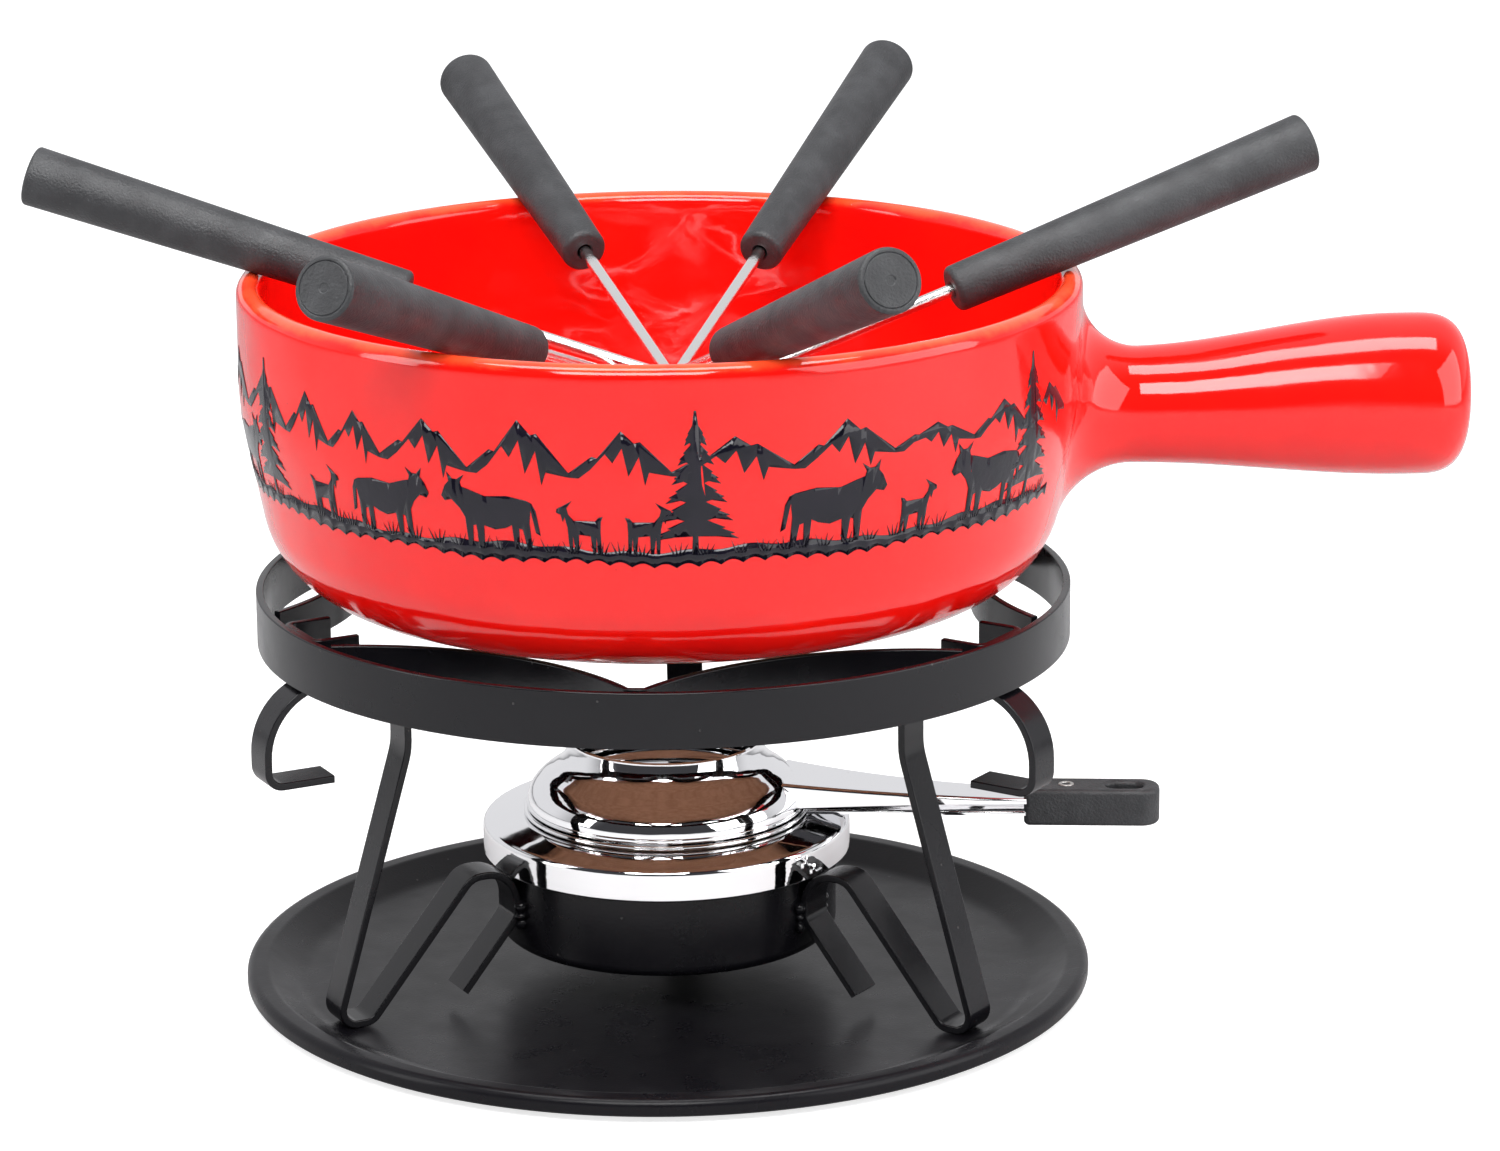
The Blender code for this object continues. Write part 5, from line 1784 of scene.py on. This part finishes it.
    def ground(self, builder: bmesh.types.BMesh, place: Place, first: float, last: float) -> None:
        """Lay the uneven strip of meadow with tufts of grass.

        Args:
            builder: Mesh to add to.
            place: Takes (along, up, proud) to a point on the wall.
            first: Where the strip starts.
            last: Where it ends.
        """
        count = int((last - first) / 0.0007)
        previous = None
        for step in range(count + 1):
            along = first + (last - first) * step / count
            top = 0.0054 + 0.0007 * math.sin(along * 95) + 0.0004 * math.sin(along * 410)
            low = 0.0010 + 0.0012 * abs(math.sin(along * 560)) + 0.0005 * math.sin(along * 130)
            pair = [builder.verts.new(place(along, up, self.ground_proud)) for up in (low, top)]
            if previous:
                builder.faces.new((previous[0], pair[0], pair[1], previous[1]))
            previous = pair
        along = first + 0.002
        while along < last - 0.002:
            for blade in range(4):
                lean = (blade - 1.5) * 0.0007
                tall = 0.0022 + 0.0016 * self.dice.random()
                shape = [(lean - 0.0003, 0.0), (lean + 0.0003, 0.0), (lean * 2.4, tall)]
                self.motif(builder, place, shape, along, self.blade_proud)
            along += 0.0042 + 0.0050 * self.dice.random()

    def ridges(self, builder: bmesh.types.BMesh, place: Place, first: float, last: float) -> None:
        """Lay a far mountain ridge: a line that thickens into shaded flanks.

        Args:
            builder: Mesh to add to.
            place: Takes (along, up, proud) to a point on the wall.
            first: Where the ridge starts.
            last: Where it ends.
        """
        corner = (first, 0.0265)
        while corner[0] < last - 0.016:
            rise = 0.0060 + 0.0065 * self.dice.random()
            wide = 0.0095 + 0.0060 * self.dice.random()
            peak = (corner[0] + wide, 0.0255 + rise)
            foot = (peak[0] + wide * 0.95, 0.0240 + 0.0030 * self.dice.random())
            flank = [corner, (corner[0] + wide * 0.45, corner[1] + rise * 0.42),
                     (corner[0] + wide * 0.55, corner[1] + rise * 0.38), peak,
                     (peak[0] + wide * 0.25, peak[1] - rise * 0.30),
                     (peak[0] + wide * 0.36, peak[1] - rise * 0.26), foot,
                     (foot[0], foot[1] - 0.0011),
                     (foot[0] - wide * 0.42, foot[1] - 0.0001),
                     (foot[0] - wide * 0.50, foot[1] - 0.0034),
                     (peak[0] + wide * 0.34, peak[1] - rise * 0.62),
                     (peak[0] + wide * 0.14, peak[1] - rise * 1.10),
                     (peak[0] + wide * 0.02, peak[1] - rise * 0.42),
                     (peak[0] - wide * 0.16, peak[1] - rise * 0.78),
                     (peak[0] - wide * 0.30, peak[1] - rise * 0.56),
                     (corner[0] + wide * 0.42, corner[1] + rise * 0.10),
                     (corner[0] + wide * 0.20, corner[1] - 0.0012),
                     (corner[0], corner[1] - 0.0011)]
            flat = [(x, y - self.meadow) for x, y in flank]
            self.motif(builder, place, flat, 0.0, self.ridge_proud)
            corner = foot


@dataclass
class Fork(SubAssembly):
    """One fondue fork: plastic handle, steel shaft and three tines."""

    number: int
    plastic: bpy.types.Material
    steel: bpy.types.Material
    strip: StripTool
    length: float = 0.2640
    handle_length: float = 0.1040
    butt_radius: float = 0.0079
    tip_radius: float = 0.0061
    shaft_radius: float = 0.0017
    tang: float = 0.0300
    tine_length: float = 0.0300
    shoulder: float = 0.0130
    spread: float = 0.0041
    tine_width: float = 0.0018

    def __post_init__(self) -> None:
        """Find the fork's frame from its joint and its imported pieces."""
        self.body = f"fork_{self.number}"
        self.place = self.find_place()

    def find_place(self) -> Matrix:
        """Frame of the fork: origin at the butt, +Z towards the tines.

        Returns:
            The frame as a matrix.
        """
        name = f"fork_{self.number}_draw"
        joint = next(item for item in frame["joints"] if item["name"] == name)
        back = Vector(joint["axis"]).normalized()
        packed = frame["nodes"][f"fork_handle_{self.number}"].data.vertices
        reach = max(vert.co.dot(back) for vert in packed)
        butt = [vert.co for vert in packed if vert.co.dot(back) > reach - 1e-5]
        origin = sum(butt, Vector()) / len(butt)
        forward = -back
        aside = Vector((0.0, 0.0, 1.0)).cross(back).normalized()
        upright = forward.cross(aside)
        return Matrix((
            (aside.x, upright.x, forward.x, origin.x),
            (aside.y, upright.y, forward.y, origin.y),
            (aside.z, upright.z, forward.z, origin.z),
            (0.0, 0.0, 0.0, 1.0)))

    def build(self) -> None:
        """Make the handle and the shaft."""
        self.build_handle()
        self.build_shaft()

    def build_handle(self) -> None:
        """Make the tapered handle with a stepped butt and a rounded front."""
        butt, tip, length = self.butt_radius, self.tip_radius, self.handle_length
        bore = self.shaft_radius + 0.0003
        bottom = length - self.tang - 0.0003
        outline = rounded_path([
            (0.0, 0.0002, 0.0), (butt * 0.14, 0.0002, 0.0), (butt * 0.17, 0.0, 0.0),
            (butt * 0.80, 0.0, 0.0), (butt * 0.83, 0.00025, 0.0), (butt * 0.86, 0.0, 0.0),
            (butt, 0.0, 0.0009), (tip, length, 0.0016), (bore + 0.0004, length, 0.0),
            (bore, length - 0.0004, 0.0), (bore, bottom, 0.0), (0.0, bottom, 0.0)])
        shape = lathe(pairs(outline), 56, self.place)
        handle = add_object(f"fork_grip_{self.number}", shape, self.plastic)
        weight_normals(handle)
        self.fit(handle, self.body, Slot.FORK_BLACK, f"fork_handle_{self.number}")

    def build_shaft(self) -> None:
        """Make the round shaft and the three pointed tines."""
        start = self.handle_length - self.tang
        root = self.length - self.tine_length
        shoulder = root - self.shoulder
        radius = self.shaft_radius
        outline = rounded_path([
            (0.0, start, 0.0), (radius, start, 0.0003), (radius, shoulder + 0.0010, 0.010),
            (radius * 0.62, shoulder + 0.0085, 0.004), (radius * 0.4, shoulder + 0.0100, 0.0),
            (0.0, shoulder + 0.0100, 0.0)])
        shape = lathe(pairs(outline), 28, self.place)
        aside = self.place.to_3x3() @ Vector((0.0, 1.0, 0.0))
        for side in (-1.0, 0.0, 1.0):
            flat = self.tine_path(side, shoulder, root)
            path = [self.place @ Vector((x, 0.0, z)) for x, z in flat]
            mesh = self.strip.bend(path, aside, self.tine_width, self.tine_width, self.steel,
                                   edge=0.0006, point=0.0060)
            shape.from_mesh(mesh)
            bpy.data.meshes.remove(mesh)
        shaft = add_object(f"fork_steel_{self.number}", shape, self.steel)
        self.fit(shaft, self.body, Slot.FORK_STEEL, f"fork_shaft_{self.number}")

    def tine_path(self, side: float, shoulder: float, root: float) -> Outline:
        """Middle line of one tine in the fork's own plane.

        Args:
            side: -1, 0 or 1.
            shoulder: Where the tines leave the shaft.
            root: Where they run parallel.

        Returns:
            (aside, forward) points, ending at the tip.
        """
        points = []
        count = 16
        for step in range(count + 1):
            share = step / count
            ease = share * share * (3 - 2 * share)
            points.append((side * (0.0004 + (self.spread - 0.0004) * ease),
                           shoulder + (root - shoulder) * share))
        run = self.length - root
        points += [(side * self.spread, root + run * step / 24) for step in range(1, 25)]
        return points


# ================================================================ studio
@dataclass
class Studio:
    """Camera, pale floor and soft lights."""

    floor_finish: bpy.types.Material
    eye: tuple[float, float, float] = (0.0, -1.350, 0.483)
    pitch: float = math.radians(15.42)
    yaw: float = math.radians(0.97)
    roll: float = math.radians(-0.46)
    lens: float = 127.15
    sensor: float = 36.0
    floor_half: float = 6.0
    floor_drop: float = 0.0002

    def build(self) -> None:
        """Set up the whole studio."""
        self.build_camera()
        self.build_floor()
        self.build_sky()
        self.soft_box("over_box", (0.0, -0.15, 1.20), (0.0, 0.0, 0.12), (1.1, 0.40), 13.0)
        self.soft_box("front_box", (-0.15, -1.10, 1.15), (0.0, 0.0, 0.14), (0.9, 0.55), 19.0)
        self.soft_box("right_box", (0.80, -0.40, 0.42), (0.0, 0.0, 0.14), (0.9, 0.75), 7.0)
        self.soft_box("left_box", (-1.10, -0.35, 0.50), (0.0, 0.0, 0.14), (0.35, 0.9), 5.0)
        bpy.context.scene.view_settings.view_transform = "Standard"

    def build_camera(self) -> None:
        """Place the camera."""
        ahead = Vector((math.sin(self.yaw) * math.cos(self.pitch),
                        math.cos(self.yaw) * math.cos(self.pitch), -math.sin(self.pitch)))
        right = Vector((math.cos(self.yaw), -math.sin(self.yaw), 0.0))
        up = right.cross(ahead)
        tilted_right = right * math.cos(self.roll) + up * math.sin(self.roll)
        tilted_up = up * math.cos(self.roll) - right * math.sin(self.roll)
        data = bpy.data.cameras.new("viewpoint")
        data.lens = self.lens
        data.sensor_width = self.sensor
        camera = bpy.data.objects.new("viewpoint", data)
        axes = Matrix((tilted_right, tilted_up, -ahead)).transposed()
        camera.matrix_world = Matrix.Translation(self.eye) @ axes.to_4x4()
        bpy.context.scene.collection.objects.link(camera)
        bpy.context.scene.camera = camera

    def build_floor(self) -> None:
        """Lay the pale floor."""
        builder = bmesh.new()
        bmesh.ops.create_grid(builder, x_segments=8, y_segments=8, size=self.floor_half)
        bmesh.ops.translate(builder, vec=(0.0, 0.0, -self.floor_drop), verts=builder.verts)
        floor = add_object("studio_floor", builder, self.floor_finish)

    def build_sky(self) -> None:
        """Fill the studio with light that is pale behind the set and dim in front."""
        world = bpy.data.worlds.new("studio_air")
        world.use_nodes = True
        graph = Graph(world.node_tree)
        background = world.node_tree.nodes["Background"]
        direction = graph.add("ShaderNodeTexCoord").outputs["Generated"]
        parts = graph.add("ShaderNodeSeparateXYZ", {0: direction})
        depth = graph.ramp(parts.outputs["Y"], -0.55, 0.35)
        tone = graph.mix(depth, (0.05, 0.05, 0.055, 1.0), (0.80, 0.80, 0.82, 1.0))
        eye_ray = graph.add("ShaderNodeLightPath").outputs["Is Camera Ray"]
        graph.feed(background.inputs["Color"], graph.mix(eye_ray, tone, (1.0, 1.0, 1.0, 1.0)))
        background.inputs["Strength"].default_value = 1.0
        bpy.context.scene.world = world

    def soft_box(self, name: str, place: Sequence[float], aim: Sequence[float], size: Point,
                 power: float) -> None:
        """Hang one soft box.

        Args:
            name: Light name.
            place: Where it hangs.
            aim: Point that it faces.
            size: Width and height.
            power: Watts.
        """
        data = bpy.data.lights.new(name, "AREA")
        data.shape = "RECTANGLE"
        data.size, data.size_y = size
        data.energy = power
        light = bpy.data.objects.new(name, data)
        light.location = place
        light.rotation_euler = (Vector(aim) - Vector(place)).to_track_quat("-Z", "Y").to_euler()
        bpy.context.scene.collection.objects.link(light)


def main() -> None:
    """Build the set and its studio in order."""
    logging.basicConfig(level=logging.INFO, format="%(name)s: %(message)s")
    tray_paint = PaintFinish(
        "tray_paint", colour=(0.0050, 0.0046, 0.0062, 1.0), worn=(0.022, 0.021, 0.024, 1.0),
        gloss=(0.26, 0.34), grain_scale=1500.0, grain_depth=0.00003, dust=0.015,
        sheen=0.16).build()
    stand_paint = PaintFinish(
        "stand_paint", colour=(0.0042, 0.0040, 0.0054, 1.0), worn=(0.030, 0.029, 0.032, 1.0),
        gloss=(0.20, 0.28), grain_scale=1100.0, grain_depth=0.00002, dust=0.01,
        sheen=0.30).build()
    chrome = ChromeFinish(
        "bright_chrome", colour=(0.88, 0.88, 0.89, 1.0), gloss=(0.025, 0.070), line_scale=60.0,
        line_depth=0.00004).build()
    steel = ChromeFinish(
        "polished_steel", colour=(0.80, 0.79, 0.78, 1.0), gloss=(0.10, 0.20), line_scale=900.0,
        line_depth=0.00004).build()
    wire = ChromeFinish(
        "wire_steel", colour=(0.50, 0.49, 0.47, 1.0), gloss=(0.32, 0.46), line_scale=1200.0,
        line_depth=0.00006).build()
    plastic = PlasticFinish("moulded_black", (0.0165, 0.0170, 0.0190, 1.0),
                            (0.055, 0.057, 0.061, 1.0)).build()
    pot_low, pot_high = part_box("fondue_pot")
    glaze = GlazeFinish("red_glaze_fired", pot_high[2], pot_low[2]).build()
    ink = PrintFinish("fired_print").build()
    strip, welds, gauze = StripTool(), WeldTool(), GauzeTool()
    Studio(FloorFinish("studio_paper").build()).build()
    DripTray(tray_paint).build()
    Stand(stand_paint, strip, welds).build()
    Burner(chrome, wire, plastic, strip, gauze).build()
    Caquelon(glaze, ink).build()
    for number in range(1, FORK_COUNT + 1):
        Fork(number, plastic, steel, strip).build()


if __name__ == "__main__":
    main()
